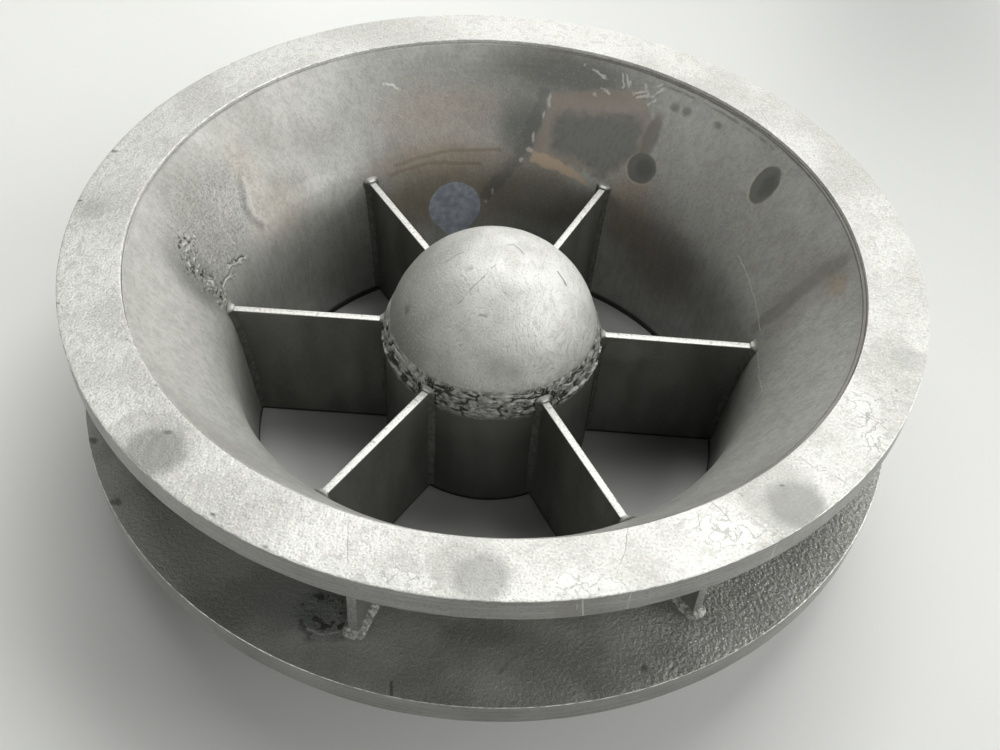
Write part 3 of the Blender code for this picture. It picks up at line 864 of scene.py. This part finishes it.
def lower_face():
    """Lower flange: grey blasted plate with a fine grain, coarse on its right, painted light paler towards
    its rim on the right, a painted shadow at the front and a lumpy dark patch.
    """
    steel = Finish("lower_face", 0.45)
    broad = steel.mottle(0.10, 3)
    grain = steel.mottle(0.0021, 2)
    lumps = steel.mottle(0.0050, 2)
    coarse = steel.ramp(steel.added(steel.mottle(0.05, 2), 0.30, steel.along("X")), 0.24, 0.46)
    share = steel.added(coarse, 0.45, 0.22)
    steel.base(broad, 0.35, 0.65, (0.215, 0.220, 0.204), (0.335, 0.335, 0.320))
    steel.fleck(grain, 0.52, 0.66, share, (0.56, 0.56, 0.54))
    steel.fleck(grain, 0.46, 0.33, share, (0.10, 0.10, 0.095))
    # Painted light: paler towards the rim on the right, outside the top flange's shade
    steel.lay(steel.times(steel.ramp(steel.off_axis(), 0.440, 0.500), coarse), 0.28, (0.58, 0.58, 0.56))
    dark = lumpy_patch(steel)
    # Painted shadow patch at the front, together with the real curved dark stroke
    painted_shadow_and_stroke = steel.most([
        steel.patch(on_lower(0.020, -0.420), (0.050, 0.011, 0.02), 0.6, 0.006),
        steel.scratches(placed(on_lower, [DARK_CURVE]), 0.0030, 0.0012),
    ])
    steel.lay(painted_shadow_and_stroke, 0.28, (0.10, 0.10, 0.095))
    holes = steel.times(dark, steel.ramp(steel.mottle(0.011, 3), 0.44, 0.38))
    steel.lay(holes, 0.80, (0.02, 0.02, 0.02))
    pits = [steel.patch(on_lower(x, y), radius, 0.6, ragged) for (x, y), radius, ragged in LOWER_PITS]
    pits.append(steel.scratches(placed(on_lower, [NOTCH]), 0.0022, 0.001))
    steel.lay(steel.most(pits), 0.75, (0.07, 0.07, 0.065))
    relief = steel.math("ADD", steel.times(lumps, steel.added(coarse, 3.5, 2.2)), grain)
    lumpy = steel.patch(on_lower(-0.152, -0.408), (0.024, 0.027, 0.02), 0.35, 0)
    relief = steel.added(steel.times(lumpy, steel.mottle(0.010, 3)), 7.0, relief)
    return steel.done(0.5, relief, 0.0005)


def weld_metal():
    """Grainy grey weld metal with darker crevices."""
    steel = Finish("weld_metal", 0.45)
    steel.base(steel.mottle(0.004, 4), 0.35, 0.62, (0.13, 0.13, 0.122), (0.30, 0.30, 0.286))
    return steel.done(0.50, steel.mottle(0.0022, 3), 0.0008)


def joint_metal():
    """Welds of the vanes: dark as the plate along the joint, with a painted highlight where they go over the
    vane's top and painted black contact shade at the foot.
    """
    steel = Finish("joint_metal", 0.5)
    patches = steel.mottle(0.006, 4)
    steel.base(patches, 0.35, 0.65, (0.105, 0.106, 0.097), (0.165, 0.166, 0.154))
    level = steel.added(patches, 0.006, steel.along("Z"))
    # Painted highlight on the bead's upward-facing top, over the vane's top
    steel.fleck(level, VANE_TOP + 0.001, VANE_TOP + 0.0065, 0.60, (0.60, 0.60, 0.58))
    # Painted black contact shade along the foot
    painted_foot_shade(steel, 0.010, 0.006)
    return steel.done(0.48, patches, 0.0004)


def crusted_weld():
    """Rough bead at the foot of the nose: grey crust with painted black shade in its crevices and painted
    highlights on its ridges, darker along its lower part.
    """
    steel = Finish("crusted_weld", 0.35)
    patches = steel.mottle(0.007, 5)
    steel.base(patches, 0.35, 0.62, (0.26, 0.26, 0.25), (0.48, 0.48, 0.465))
    # Painted highlights on the proud ridges, and painted black shade in the crevices
    steel.fleck(steel.noted("proud"), 0.4, 1.1, 0.6, (0.70, 0.70, 0.68))
    steel.fleck(steel.noted("hollow"), 0.3, 1.2, 0.92, (0.04, 0.04, 0.036))
    steel.fleck(steel.added(patches, 0.01, steel.along("Z")), 0.178, 0.166, 0.6, (0.14, 0.14, 0.13))
    return steel.done(0.5, steel.mottle(0.0024, 3), 0.0006)


def wander(point, size, seed):
    """Smooth noise from -1 to 1 with bumps about size apart."""
    return noise.noise(Vector(point) / size + Vector((seed, seed * 0.7, -seed)))


def add_piece(name, shape, materials, replaced):
    """Make the finished piece, ride it on the body and let it stand for its solid, if it has one."""
    mesh = bpy.data.meshes.new(name)
    shape.to_mesh(mesh)
    shape.free()
    mesh.shade_smooth()
    mesh.set_sharp_from_angle(angle=math.radians(SHARP_ANGLE))
    for material in materials:
        mesh.materials.append(material)
    piece = bpy.data.objects.new(name, mesh)
    bpy.context.scene.collection.objects.link(piece)
    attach(piece, "root")
    if replaced:
        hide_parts(replaced)


def wire(shape, points, closed=True):
    """Edges through the points in turn, and back to the first one if the outline is closed."""
    corners = [shape.verts.new(point) for point in points]
    pairs = list(zip(corners, corners[1:]))
    if closed:
        pairs.append((corners[-1], corners[0]))
    return [shape.edges.new(pair) for pair in pairs]


def turned(profile, steps, rounding=0.0, spacing=0.0, closed=True):
    """Solid turned about the axis from (radius, height) corners, its corners rounded in the profile."""
    shape = bmesh.new()
    edges = wire(shape, [(radius, 0, height) for radius, height in profile], closed)
    if rounding:
        bmesh.ops.contextual_create(shape, geom=edges)
        bmesh.ops.bevel(
            shape, geom=shape.verts[:], offset=rounding, offset_type="OFFSET",
            affect="VERTICES", segments=4, profile=0.5, material=-1,
        )
        bmesh.ops.delete(shape, geom=shape.faces[:], context="FACES_ONLY")
    if spacing:
        for edge in shape.edges[:]:
            cuts = int(edge.calc_length() / spacing)
            if cuts:
                bmesh.ops.subdivide_edges(shape, edges=[edge], cuts=cuts)
    for angle, count, copies in (
        (math.tau / SECTORS, steps // SECTORS, False),
        (math.tau * (SECTORS - 1) / SECTORS, SECTORS - 1, True),
    ):
        bmesh.ops.spin(
            shape, geom=shape.verts[:] + shape.edges[:] + shape.faces[:], cent=(0, 0, 0), axis=(0, 0, 1),
            dvec=(0, 0, 0), angle=angle, steps=count, use_merge=False, use_normal_flip=False,
            use_duplicate=copies,
        )
    bmesh.ops.remove_doubles(shape, verts=shape.verts, dist=MERGE)
    bmesh.ops.recalc_face_normals(shape, faces=shape.faces)
    shape.normal_update()
    return shape


def push(shape, amount):
    """Move each vertex along its normal by the amount that its place gives, and note it in millimetres."""
    for name in ("hollow", "proud"):
        shape.verts.layers.float.new(name)
    hollow = shape.verts.layers.float["hollow"]
    proud = shape.verts.layers.float["proud"]
    moves = [(vert, amount(vert.co)) for vert in shape.verts]
    for vert, move in moves:
        vert[hollow] = max(0.0, -move) * 1000
        vert[proud] = max(0.0, move) * 1000
        vert.co += vert.normal * move


def refine(shape, wanted, cuts):
    """Divide the faces more finely whose middle is wanted."""
    faces = [face for face in shape.faces if wanted(face.calc_center_median())]
    edges = list(dict.fromkeys(edge for face in faces for edge in face.edges))
    bmesh.ops.subdivide_edges(shape, edges=edges, cuts=cuts, use_grid_fill=True)
    shape.normal_update()


def bell_run(height):
    """How far the bell's inner side runs outward up to a height: a steep throat bending into a cone."""
    even = (MOUTH_SLOPE + THROAT_SLOPE) / 2 * height
    return even + (MOUTH_SLOPE - THROAT_SLOPE) / 2 * math.hypot(height - BEND_HEIGHT, BEND_SOFTNESS)


def bell_slope(height):
    """How fast the inner side runs outward at a height."""
    turn = (height - BEND_HEIGHT) / math.hypot(height - BEND_HEIGHT, BEND_SOFTNESS)
    return (MOUTH_SLOPE + THROAT_SLOPE) / 2 + (MOUTH_SLOPE - THROAT_SLOPE) / 2 * turn


def bell_inner_radius(height):
    """Radius of the bell's inner side at a height above the spigot's end."""
    return TOP_FLANGE_BORE - bell_run(FACE) + bell_run(height)


def bell_outer_point(height):
    """Point of the outer side that lies one wall thickness from the inner side at this height."""
    slope = bell_slope(height)
    length = math.hypot(1, slope)
    return bell_inner_radius(height) + BELL_WALL / length, height - BELL_WALL * slope / length


def bell_outer_radius(height):
    """Radius of the bell's outer side at a height, found by closing in on it."""
    source = height
    for _ in range(12):
        source += height - bell_outer_point(source)[1]
    return bell_outer_point(source)[0]


def hub_surface_radius(height):
    """Outer radius of the barrel, or of the nose above the seam."""
    if height <= HUB_SEAM:
        return HUB_RADIUS
    return math.sqrt(DOME_RADIUS ** 2 - (height - HUB_SEAM) ** 2)


def seam_weld_radius(height):
    """Outer radius of the heavy bead at the foot of the nose."""
    middle = (SEAM_WELD_LOW + SEAM_WELD_HIGH) / 2
    share = (height - middle) / (SEAM_WELD_HIGH - middle)
    return hub_surface_radius(height) + SEAM_WELD_PROUD * max(0.0, 1 - share * share)


def vane_seat_radius(height):
    """Radius that a vane's inner edge follows."""
    return HUB_RADIUS if height < SEAM_WELD_LOW else seam_weld_radius(height)


def between(low, high, count):
    """Evenly spaced values from low to high, both included."""
    return [low + (high - low) * index / (count - 1) for index in range(count)]


def flange_ring(name, outside, bore_top, bore_base, base, top, materials, replaced, dents):
    """Flat ring with softly rounded edges and a face that isn't quite flat."""
    profile = [(outside, top), (outside, base), (bore_base, base), (bore_top, top)]
    shape = turned(profile, RING_STEPS, rounding=FLANGE_ROUNDING, spacing=FLANGE_SPACING)
    push(shape, dents)
    for face in shape.faces:
        if 0.2 < face.normal.z < 0.95:
            face.material_index = 2
        elif abs(face.normal.z) < 0.6 and math.hypot(*face.calc_center_median().xy) > outside - 0.01:
            face.material_index = 1
    add_piece(name, shape, materials, replaced)


def inward_dents(depth, size):
    """Shallow dents, never proud of the true surface."""
    def amount(place):
        sunk = 0.5 + 0.5 * wander(place, size, 3.1)
        return -depth * sunk - depth * max(0, wander(place, size / 4, 9.4))
    return amount


def build_flanges(face_finish, edge_finish, lower_finish, arris_finish):
    """The two flange rings, with pale worn arrises."""
    flange_ring(
        "top_flange_ring", OUTER_RADIUS, TOP_FLANGE_BORE, TOP_FLANGE_BORE, TOP_FLANGE_BASE, FACE,
        (face_finish, edge_finish, arris_finish), "top_flange", inward_dents(0.0003, 0.04),
    )
    bore_top = bell_outer_radius(LOWER_FLANGE_TOP) + SEAT
    bore_base = bell_outer_radius(LOWER_FLANGE_BASE) + SEAT

    def lower_dents(place):
        sandy = min(1.0, max(0.0, (place.x - 0.15) / 0.2))
        return inward_dents(0.0003, 0.03)(place) - 0.0007 * sandy * abs(wander(place, 0.006, 4.0))

    flange_ring(
        "lower_flange_ring", LOWER_RADIUS, bore_top, bore_base, LOWER_FLANGE_BASE, LOWER_FLANGE_TOP,
        (lower_finish, edge_finish, arris_finish), "bottom_flange", lower_dents,
    )


def bell_chart(place):
    """Place on the bell's chart, as the marks' finish lays it out, or None off the inner side."""
    if place.x * place.x + place.y * place.y > (bell_inner_radius(place.z) + 0.001) ** 2:
        return None
    return Vector((math.atan2(place.x, place.y) * CHART_RADIUS, place.z, 0.0))


def near_scar(place):
    """Whether a place lies in the part of the bell's inner side that holds the scar and the crease."""
    chart = bell_chart(place)
    low, high = on_bell(SCAR_AZIMUTHS[1], SCAR_HEIGHTS[0]), on_bell(SCAR_AZIMUTHS[0], SCAR_HEIGHTS[1])
    return chart is not None and low[0] < chart.x < high[0] and low[1] < chart.y < high[1]


def spot(chart, azimuth, level, size):
    """Round bump of height 1 at a point of the chart, falling to 0 at about its size."""
    far = (chart - Vector(on_bell(azimuth, level))).length / size
    return max(0.0, 1 - far * far) ** 2


def groove(chart, route, width):
    """Rounded ridge of height 1 along a route of the chart, falling to 0 at its width."""
    points = [Vector(on_bell(*place)) for place in route]
    far = width
    for start, end in zip(points, points[1:]):
        way = end - start
        share = max(0.0, min(1.0, (chart - start).dot(way) / way.length_squared))
        far = min(far, (chart - start - way * share).length)
    return (1 - (far / width) ** 2) ** 2


def bell_relief(place):
    """Slow waves of the rolled wall, its crease, and its scar: grain, crumbled side, chips and gouges."""
    if place.z < 0.01:
        return 0.0
    waves = 0.0004 * wander(place, 0.09, 5.0) + 0.00015 * wander(place, 0.02, 7.0)
    if not near_scar(place):
        return waves
    chart = bell_chart(place)
    middle = on_bell(*SCAR_MIDDLE)
    across = (chart.x - middle[0]) / SCAR_REACH[0]
    up = (chart.y - middle[1]) / SCAR_REACH[1]
    share = min(1.0, max(0.0, 2.0 * (1 - math.hypot(across, up))))
    ragged = chart + 0.0030 * noise.noise_vector(place / 0.006)
    crumble = groove(ragged, CRUMBLED, 0.024)
    chips = max(spot(ragged, *chip) for chip in SCAR_CHIPS)
    gouges = max(groove(ragged, route, 0.0022) for route in SCAR_GOUGES)
    lips = max(groove(ragged + Vector((0.0008, 0.0026, 0)), route, 0.0020) for route in SCAR_GOUGES)
    crease = groove(chart, CREASE, 0.0085)
    grain = 0.00045 * wander(place, 0.0035, 2.0) + 0.0005 * wander(place, 0.008, 9.0)
    broken = 0.8 * wander(place, 0.0085, 3.0) + wander(place, 0.0042, 5.0) + 0.4 * wander(place, 0.0024, 6.0)
    broken = max(0.0, broken - 0.20) + 1.6 * min(0.0, broken + 0.12)
    return (waves + share * grain + 0.0030 * crumble * broken + 0.0013 * chips
            - 0.0015 * gouges + 0.0010 * lips * (1 - gouges) - 0.0008 * crease)


def build_bell(finish, outside_finish):
    """The flared wall and its spigot, finely divided where it is scarred, with a plain outside."""
    inner = [(bell_inner_radius(height), height) for height in between(0.0, BELL_TOP, 90)]
    falling = map(bell_outer_point, between(BELL_TOP, 0.0, 26))
    outer = [point for point in falling if point[0] < LAND_RADIUS and point[1] > 0]
    outer.append((bell_outer_radius(0.0), 0.0))
    land_foot = BELL_TOP
    while bell_outer_radius(land_foot) > LAND_RADIUS:
        land_foot -= LAND_STEP
    land = [(LAND_RADIUS, BELL_TOP), (LAND_RADIUS, land_foot)]
    shape = turned(land + outer + inner, BELL_STEPS)
    refine(shape, near_scar, SCAR_CUTS)
    push(shape, bell_relief)
    for face in shape.faces:
        middle = face.calc_center_median()
        face.material_index = int(math.hypot(*middle.xy) > bell_inner_radius(middle.z) + BELL_WALL * 0.7)
    add_piece("bell_shell", shape, (finish, outside_finish), "bell_wall")


def crust(place):
    """Relief of the bead at the foot of the nose: broken plates at the front, long ridges at the sides."""
    proud = math.hypot(place.x, place.y) - hub_surface_radius(place.z)
    if proud < 0.0002:
        return 0.0
    turn = math.degrees(math.atan2(place.y, place.x)) % 360 - 270
    front = max(0.0, min(1.0, (40 - abs(turn)) / 12))
    length = CRUST_PLATE[0] + RIDGE_EXTRA[0] * (1 - front)
    height = CRUST_PLATE[1] + RIDGE_EXTRA[1] * (1 - front)
    rise = place.z + 0.004 * math.sin(math.radians(turn) * 3)
    bent = Vector((math.radians(turn) * HUB_RADIUS / length, rise / height, 0.0))
    bent += 0.50 * noise.noise_vector(place / 0.016)
    near = noise.voronoi(bent)[0]
    crevice = max(0.0, 1 - (near[1] - near[0]) / 0.24)
    rare = min(1.0, max(0.0, 0.72 + 1.1 * wander(place, 0.016, 4.0)))
    lumps = 0.0009 * wander(place, 0.007, 8.0) + 0.0007 * wander(place, 0.0035, 8.0)
    plates = 0.0006 * (near[0] - 0.4)
    depth = CREVICE_DEPTH if abs(turn) < 80 else REAR_CREVICE_DEPTH
    return min(1.0, proud / 0.0015) * (0.0003 + lumps + plates - depth * crevice * rare)


def build_hub(pipe_finish, dome_finish, weld_finish):
    """Pipe barrel, domed nose and the heavy rough bead between them."""
    inside = HUB_RADIUS - HUB_WALL
    barrel = [(HUB_RADIUS, HUB_SEAM), (HUB_RADIUS, HUB_BASE), (inside, HUB_BASE), (inside, HUB_SEAM)]
    shape = turned(barrel, HUB_STEPS, rounding=BARREL_ROUNDING, spacing=BARREL_SPACING)
    push(shape, lambda place: -0.0003 * abs(wander(place, 0.05, 2.0)))
    add_piece("hub_pipe", shape, (pipe_finish,), "hub_barrel")

    rise = between(math.pi / 2, 0.0, 70)
    skin = [(DOME_RADIUS * math.cos(turn), HUB_SEAM + DOME_RADIUS * math.sin(turn)) for turn in rise]
    hollow = DOME_RADIUS - DOME_WALL
    under = [(hollow * math.cos(turn), HUB_SEAM + hollow * math.sin(turn)) for turn in rise[::-5]]
    under.append((0.0, HUB_SEAM + hollow))
    skin[0] = (0.0, HUB_SEAM + DOME_RADIUS)
    shape = turned(skin + under, HUB_STEPS, closed=False)
    push(shape, lambda place: -0.0004 * abs(wander(place, 0.03, 6.0)))
    add_piece("hub_nose", shape, (dome_finish,), "hub_dome")

    outside = [(seam_weld_radius(height), height) for height in between(SEAM_WELD_HIGH, SEAM_WELD_LOW, 40)]
    backing = [(HUB_RADIUS - SINK, SEAM_WELD_LOW), (DOME_RADIUS - 3 * SINK, SEAM_WELD_HIGH)]
    shape = turned(outside + backing, SEAM_STEPS)
    push(shape, crust)
    add_piece("hub_seam_bead", shape, (weld_finish,), "hub_seam_weld")


def plate(name, outline, thickness, angle, materials, replaced):
    """Upright radial plate from an outline of (radius, height), its arrises softened."""
    shape = bmesh.new()
    edges = wire(shape, [(radius, -thickness / 2, height) for radius, height in outline])
    face = bmesh.ops.contextual_create(shape, geom=edges)["faces"]
    far_side = bmesh.ops.extrude_face_region(shape, geom=face)["geom"]
    moved = [item for item in far_side if isinstance(item, bmesh.types.BMVert)]
    bmesh.ops.translate(shape, verts=moved, vec=(0, thickness, 0))
    bmesh.ops.recalc_face_normals(shape, faces=shape.faces)
    arrises = [edge for edge in shape.edges if edge.calc_face_angle(0) > math.radians(SHARP_ANGLE)]
    bmesh.ops.bevel(
        shape, geom=arrises, offset=PLATE_ROUNDING, offset_type="OFFSET", affect="EDGES",
        segments=3, profile=0.5, material=-1, clamp_overlap=True,
    )
    shape.normal_update()
    for made in shape.faces:
        made.material_index = int(abs(made.normal.y) < 0.3)
    shape.transform(Matrix.Rotation(math.radians(angle), 4, "Z"))
    add_piece(name, shape, materials, replaced)


def mirrored(points):
    """The same points on the plate's other side, from the last to the first."""
    return [(x, -y, z) for x, y, z in points[::-1]]


def even_route(points, spacing):
    """The points of a route at even spacing, with its corners rounded."""
    corners = [Vector(point) for point in points]
    route = []
    for start, end in zip(corners, corners[1:]):
        count = max(1, round((end - start).length / spacing))
        route += [start.lerp(end, step / count) for step in range(count)]
    route.append(corners[-1])
    for _ in range(ROUTE_PASSES):
        middle = [(a + 2 * b + c) / 4 for a, b, c in zip(route, route[1:], route[2:])]
        route = [route[0]] + middle + [route[-1]]
    return route


def fillet(name, route, spine, wall, leg, angle, finish, grain, replaced=None, hollow=0.35):
    """Weld run along an inside corner, tapered at both ends.

    The route runs along the corner of plate and wall. The plate's outward direction is square to the
    route and to the spine. Wall gives the wall's outward direction at a place of the route. A hollow
    fillet has a face sunk by that share of its leg, and a negative one is a bulging bead. The grain is
    the height of its roughness.
    """
    last = len(route) - 1
    step = (route[1] - route[0]).length
    section = []
    for share in between(0.0, 1.0, BEAD_FACE_STEPS + 1):
        dip = hollow * 4 * share * (1 - share) * 0.5
        section.append((leg * (1 - share) * (1 - dip), leg * share * (1 - dip), 1.0))
    section += [(-SINK / 2, leg * 0.8, 0.0), (-SINK / 2, -SINK / 2, 0.0), (leg * 0.8, -SINK / 2, 0.0)]
    around = len(section)
    shape = bmesh.new()
    bmesh.ops.create_grid(shape, x_segments=last, y_segments=around, size=1.0)
    for vert in shape.verts:
        index = round((vert.co.x + 1) / 2 * last)
        along_plate, along_wall, exposed = section[round((vert.co.y + 1) / 2 * around) % around]
        ahead = (route[min(index + 1, last)] - route[max(index - 1, 0)]).normalized()
        plate_out = ahead.cross(Vector(spine)).normalized()
        wall_out = Vector(wall(route[index])).normalized()
        to_end = min(1.0, min(index, last - index) * step / leg)
        end = math.sqrt(1 - (1 - to_end) ** 2)
        swell = 1 + 0.14 * wander(route[index], 0.013, angle)
        place = route[index] + (plate_out * along_plate + wall_out * along_wall) * swell * end
        rough = grain * exposed * (wander(place, 0.0045, angle) + 0.6 * wander(place, 0.0022, angle))
        vert.co = place + (plate_out + wall_out).normalized() * rough * end
    bmesh.ops.remove_doubles(shape, verts=shape.verts, dist=MERGE)
    bmesh.ops.recalc_face_normals(shape, faces=shape.faces)
    shape.transform(Matrix.Rotation(math.radians(angle), 4, "Z"))
    add_piece(name, shape, (finish,), replaced)


def ring_bead(name, radius, height, size, finish, replaced):
    """Rippled weld bead that runs right round the outside of the bell."""
    section = [
        (radius + size * math.cos(turn), height + size * math.sin(turn))
        for turn in between(0.0, math.tau, 13)[:-1]
    ]
    shape = turned(section, RING_STEPS)

    def ripple(place):
        return size * (0.12 * wander(place, 0.006, 5.0) + 0.15 * wander(place, 0.02, 2.0))

    push(shape, ripple)
    add_piece(name, shape, (finish,), replaced)


def build_ring_welds(finish):
    """The three beads round the bell at its flanges."""
    leg = RING_WELD_LEG
    upper = LOWER_FLANGE_TOP
    under = LOWER_FLANGE_BASE
    root = bell_outer_radius(TOP_FLANGE_BASE)
    for name, radius, height, size, replaced in (
        ("lower_flange_bead_upper", bell_outer_radius(upper + leg / 4) + leg / 4, upper + leg / 4,
         leg * 0.6, "bottom_flange_weld_upper"),
        ("lower_flange_bead_under", bell_outer_radius(under + leg / 2) + leg / 3, under + leg * 0.62,
         leg * 0.52, "bottom_flange_weld_lower"),
        ("top_flange_bead", (root + TOP_FLANGE_BORE) / 2, TOP_FLANGE_BASE,
         (TOP_FLANGE_BORE - root) / 2, "top_flange_weld"),
    ):
        ring_bead(name, radius, height, size, finish, replaced)


def build_vanes(plate_finish, edge_finish, weld_finish):
    """Six straight vanes and the welds at both of their ends."""
    rising = between(VANE_BASE, VANE_TOP, 24)
    bell_side = [(bell_inner_radius(height) + SINK, height) for height in rising]
    hub_side = [(vane_seat_radius(height) - SINK, height) for height in rising[::-1]]
    outline = bell_side + hub_side
    offset = VANE_THICKNESS / 2
    welded = between(VANE_BASE + VANE_WELD_START, VANE_TOP, 16)

    def off_hub(place):
        return (1, 0, 0.4 * max(0.0, min(1.0, (place.z - HUB_SEAM) / 0.01)))

    def off_bell(place):
        return (-1, 0, bell_slope(place.z))

    for number, angle in enumerate(VANE_ANGLES, 1):
        plate(f"vane_plate_{number}", outline, VANE_THICKNESS, angle,
              (plate_finish, edge_finish), f"vane_{number}")
        for end, radius_at, off_wall, leg, grain in (
            ("hub", vane_seat_radius, off_hub, VANE_HUB_LEG, 0.00005),
            ("bell", bell_inner_radius, off_bell, VANE_BELL_LEG, 0.0004),
        ):
            side = [(radius_at(height), offset, height) for height in welded]
            route = even_route(side + mirrored(side), VANE_BEAD_SPACING)
            fillet(f"vane_{end}_bead_{number}", route, (1, 0, 0), off_wall, leg, angle,
                   weld_finish, grain, f"vane_{number}_{end}_weld")


def build_gussets(plate_finish, edge_finish, weld_finish):
    """Gussets between the flanges, with welds at the foot, at the bell and under the top flange."""
    low = LOWER_FLANGE_TOP
    high = TOP_FLANGE_BASE
    rising = between(low + GUSSET_COPE, high - GUSSET_COPE, 20)
    bell_side = [(bell_outer_radius(height) - SINK, height) for height in rising]
    foot = bell_outer_radius(low) + GUSSET_COPE
    outline = [(GUSSET_REACH, high), (TOP_FLANGE_BORE, high)] + bell_side[::-1]
    outline += [(foot, low), (GUSSET_REACH, low)]
    offset = GUSSET_THICKNESS / 2
    foot_side = [(foot, offset, low), (GUSSET_REACH, offset, low)]
    foot_route = even_route(foot_side + mirrored(foot_side), GUSSET_BEAD_SPACING)
    up = [(bell_outer_radius(height), offset, height) for height in rising]
    under = [(TOP_FLANGE_BORE + BEAD_MARGIN, offset, high), (GUSSET_REACH - BEAD_MARGIN, offset, high)]

    def off_bell(place):
        return (1, 0, -bell_slope(place.z))

    def off_floor(place):
        return (0, 0, 1)

    def off_flange(place):
        return (0, 0, -1)

    for number, angle in enumerate(GUSSET_ANGLES, 1):
        plate(f"gusset_plate_{number}", outline, GUSSET_THICKNESS, angle,
              (plate_finish, edge_finish), f"gusset_{number}")
        fillet(f"gusset_foot_bead_{number}", foot_route, (0, 0, -1), off_floor, GUSSET_FOOT_LEG, angle,
               weld_finish, 0.0010, f"gusset_{number}_foot_weld", hollow=-0.15)
        for end, hand, points, spine, off_wall, leg in (
            ("bell", "right", up, (1, 0, 0), off_bell, GUSSET_BELL_LEG),
            ("top", "right", under, (0, 0, -1), off_flange, GUSSET_TOP_LEG),
            ("bell", "left", mirrored(up), (1, 0, 0), off_bell, GUSSET_BELL_LEG),
            ("top", "left", mirrored(under), (0, 0, -1), off_flange, GUSSET_TOP_LEG),
        ):
            fillet(f"gusset_{end}_bead_{hand}_{number}", even_route(points, GUSSET_BEAD_SPACING), spine,
                   off_wall, leg, angle, weld_finish, 0.0006, hollow=-0.2)


def floor_finish():
    """Studio floor, its tone painted with light and shade: paler at the left, greyer in the far corner, with
    painted shadow beside the bell and inside it.
    """
    floor = Finish("pale_floor", 0.0)
    side = floor.along("X")
    from_middle = floor.vector("LENGTH", floor.place)
    floor.colour = floor.blend(floor.mottle(0.5, 2), (0.60, 0.61, 0.61), (0.64, 0.645, 0.645))
    # Painted light and shade: paler towards the left, greyer towards the far right corner
    floor.fleck(side, 0.3, -1.0, 0.85, (0.86, 0.87, 0.86))
    floor.fleck(floor.math("ADD", side, floor.along("Y")), 0.9, 2.2, 0.8, (0.38, 0.39, 0.39))
    # Painted shadow of the bell on the floor at its left
    painted_shade_beside = floor.times(floor.ramp(from_middle, 0.74, 0.50), floor.ramp(side, -0.15, -0.42))
    floor.lay(painted_shade_beside, 0.40, (0.36, 0.37, 0.355))
    # Painted shadow on the floor inside the bell, darker still towards the right
    inside = floor.ramp(from_middle, 0.315, 0.24)
    floor.lay(inside, 0.75, (0.34, 0.345, 0.345))
    floor.lay(floor.times(inside, floor.ramp(side, 0.05, 0.25)), 0.6, (0.16, 0.165, 0.165))
    return floor.done(0.35, floor.mottle(0.2, 2), 0.0001)


def build_floor():
    """Floor plane, which isn't part of the object."""
    shape = bmesh.new()
    bmesh.ops.create_grid(shape, x_segments=1, y_segments=1, size=FLOOR_REACH)
    mesh = bpy.data.meshes.new("studio_floor")
    shape.to_mesh(mesh)
    shape.free()
    mesh.materials.append(floor_finish())
    floor = bpy.data.objects.new("studio_floor", mesh)
    bpy.context.scene.collection.objects.link(floor)


def soft_light(name, azimuth, elevation, watts, height):
    """Wide studio panel aimed at the hub. Azimuth is counted from the right, anticlockwise."""
    light = bpy.data.lights.new(name, "AREA")
    light.shape = "RECTANGLE"
    light.size = PANEL_WIDTH
    light.size_y = height
    light.energy = watts
    light.color = LIGHT_COLOUR
    turn, rise = math.radians(azimuth), math.radians(elevation)
    away = Vector((math.cos(rise) * math.cos(turn), math.cos(rise) * math.sin(turn), math.sin(rise)))
    lamp = bpy.data.objects.new(name, light)
    lamp.location = away * PANEL_DISTANCE
    lamp.rotation_euler = (LIGHT_TARGET - lamp.location).to_track_quat("-Z", "Y").to_euler()
    bpy.context.scene.collection.objects.link(lamp)


def build_light():
    """The soft panels, and a faint even light from all round."""
    for panel in PANELS:
        soft_light(*panel)
    world = bpy.data.worlds.new("studio_world")
    bpy.context.scene.world = world
    world.use_nodes = True
    sky = world.node_tree.nodes["Background"].inputs
    sky["Color"].default_value = SKY_COLOUR
    sky["Strength"].default_value = SKY_STRENGTH


def build_camera():
    """Camera at the photograph's viewing angle, rolled a little about its own line of sight."""
    data = bpy.data.cameras.new("photo_camera")
    data.sensor_width = SENSOR_WIDTH
    data.lens = CAMERA_LENS
    camera = bpy.data.objects.new("photo_camera", data)
    tilt = Matrix.Rotation(math.radians(90 - CAMERA_PITCH), 4, "X")
    roll = Matrix.Rotation(math.radians(CAMERA_ROLL), 4, "Z")
    camera.matrix_world = Matrix.Translation(CAMERA_PLACE) @ tilt @ roll
    bpy.context.scene.collection.objects.link(camera)
    bpy.context.scene.camera = camera


def main():
    build_camera()
    edge = turned_edge()
    plate_steel = dark_plate()
    pale_edge = bright_edge()
    weld = weld_metal()
    joint = joint_metal()
    build_flanges(blasted_flange(), edge, lower_face(), worn_shaded_arris())
    build_bell(bell_plate(), bell_back())
    build_hub(dark_pipe(), blasted_dome(), crusted_weld())
    build_ring_welds(weld)
    build_vanes(plate_steel, pale_edge, joint)
    build_gussets(plate_steel, grey_edge(), weld)
    build_floor()
    build_light()
    bpy.context.scene.view_settings.view_transform = "Standard"


main()
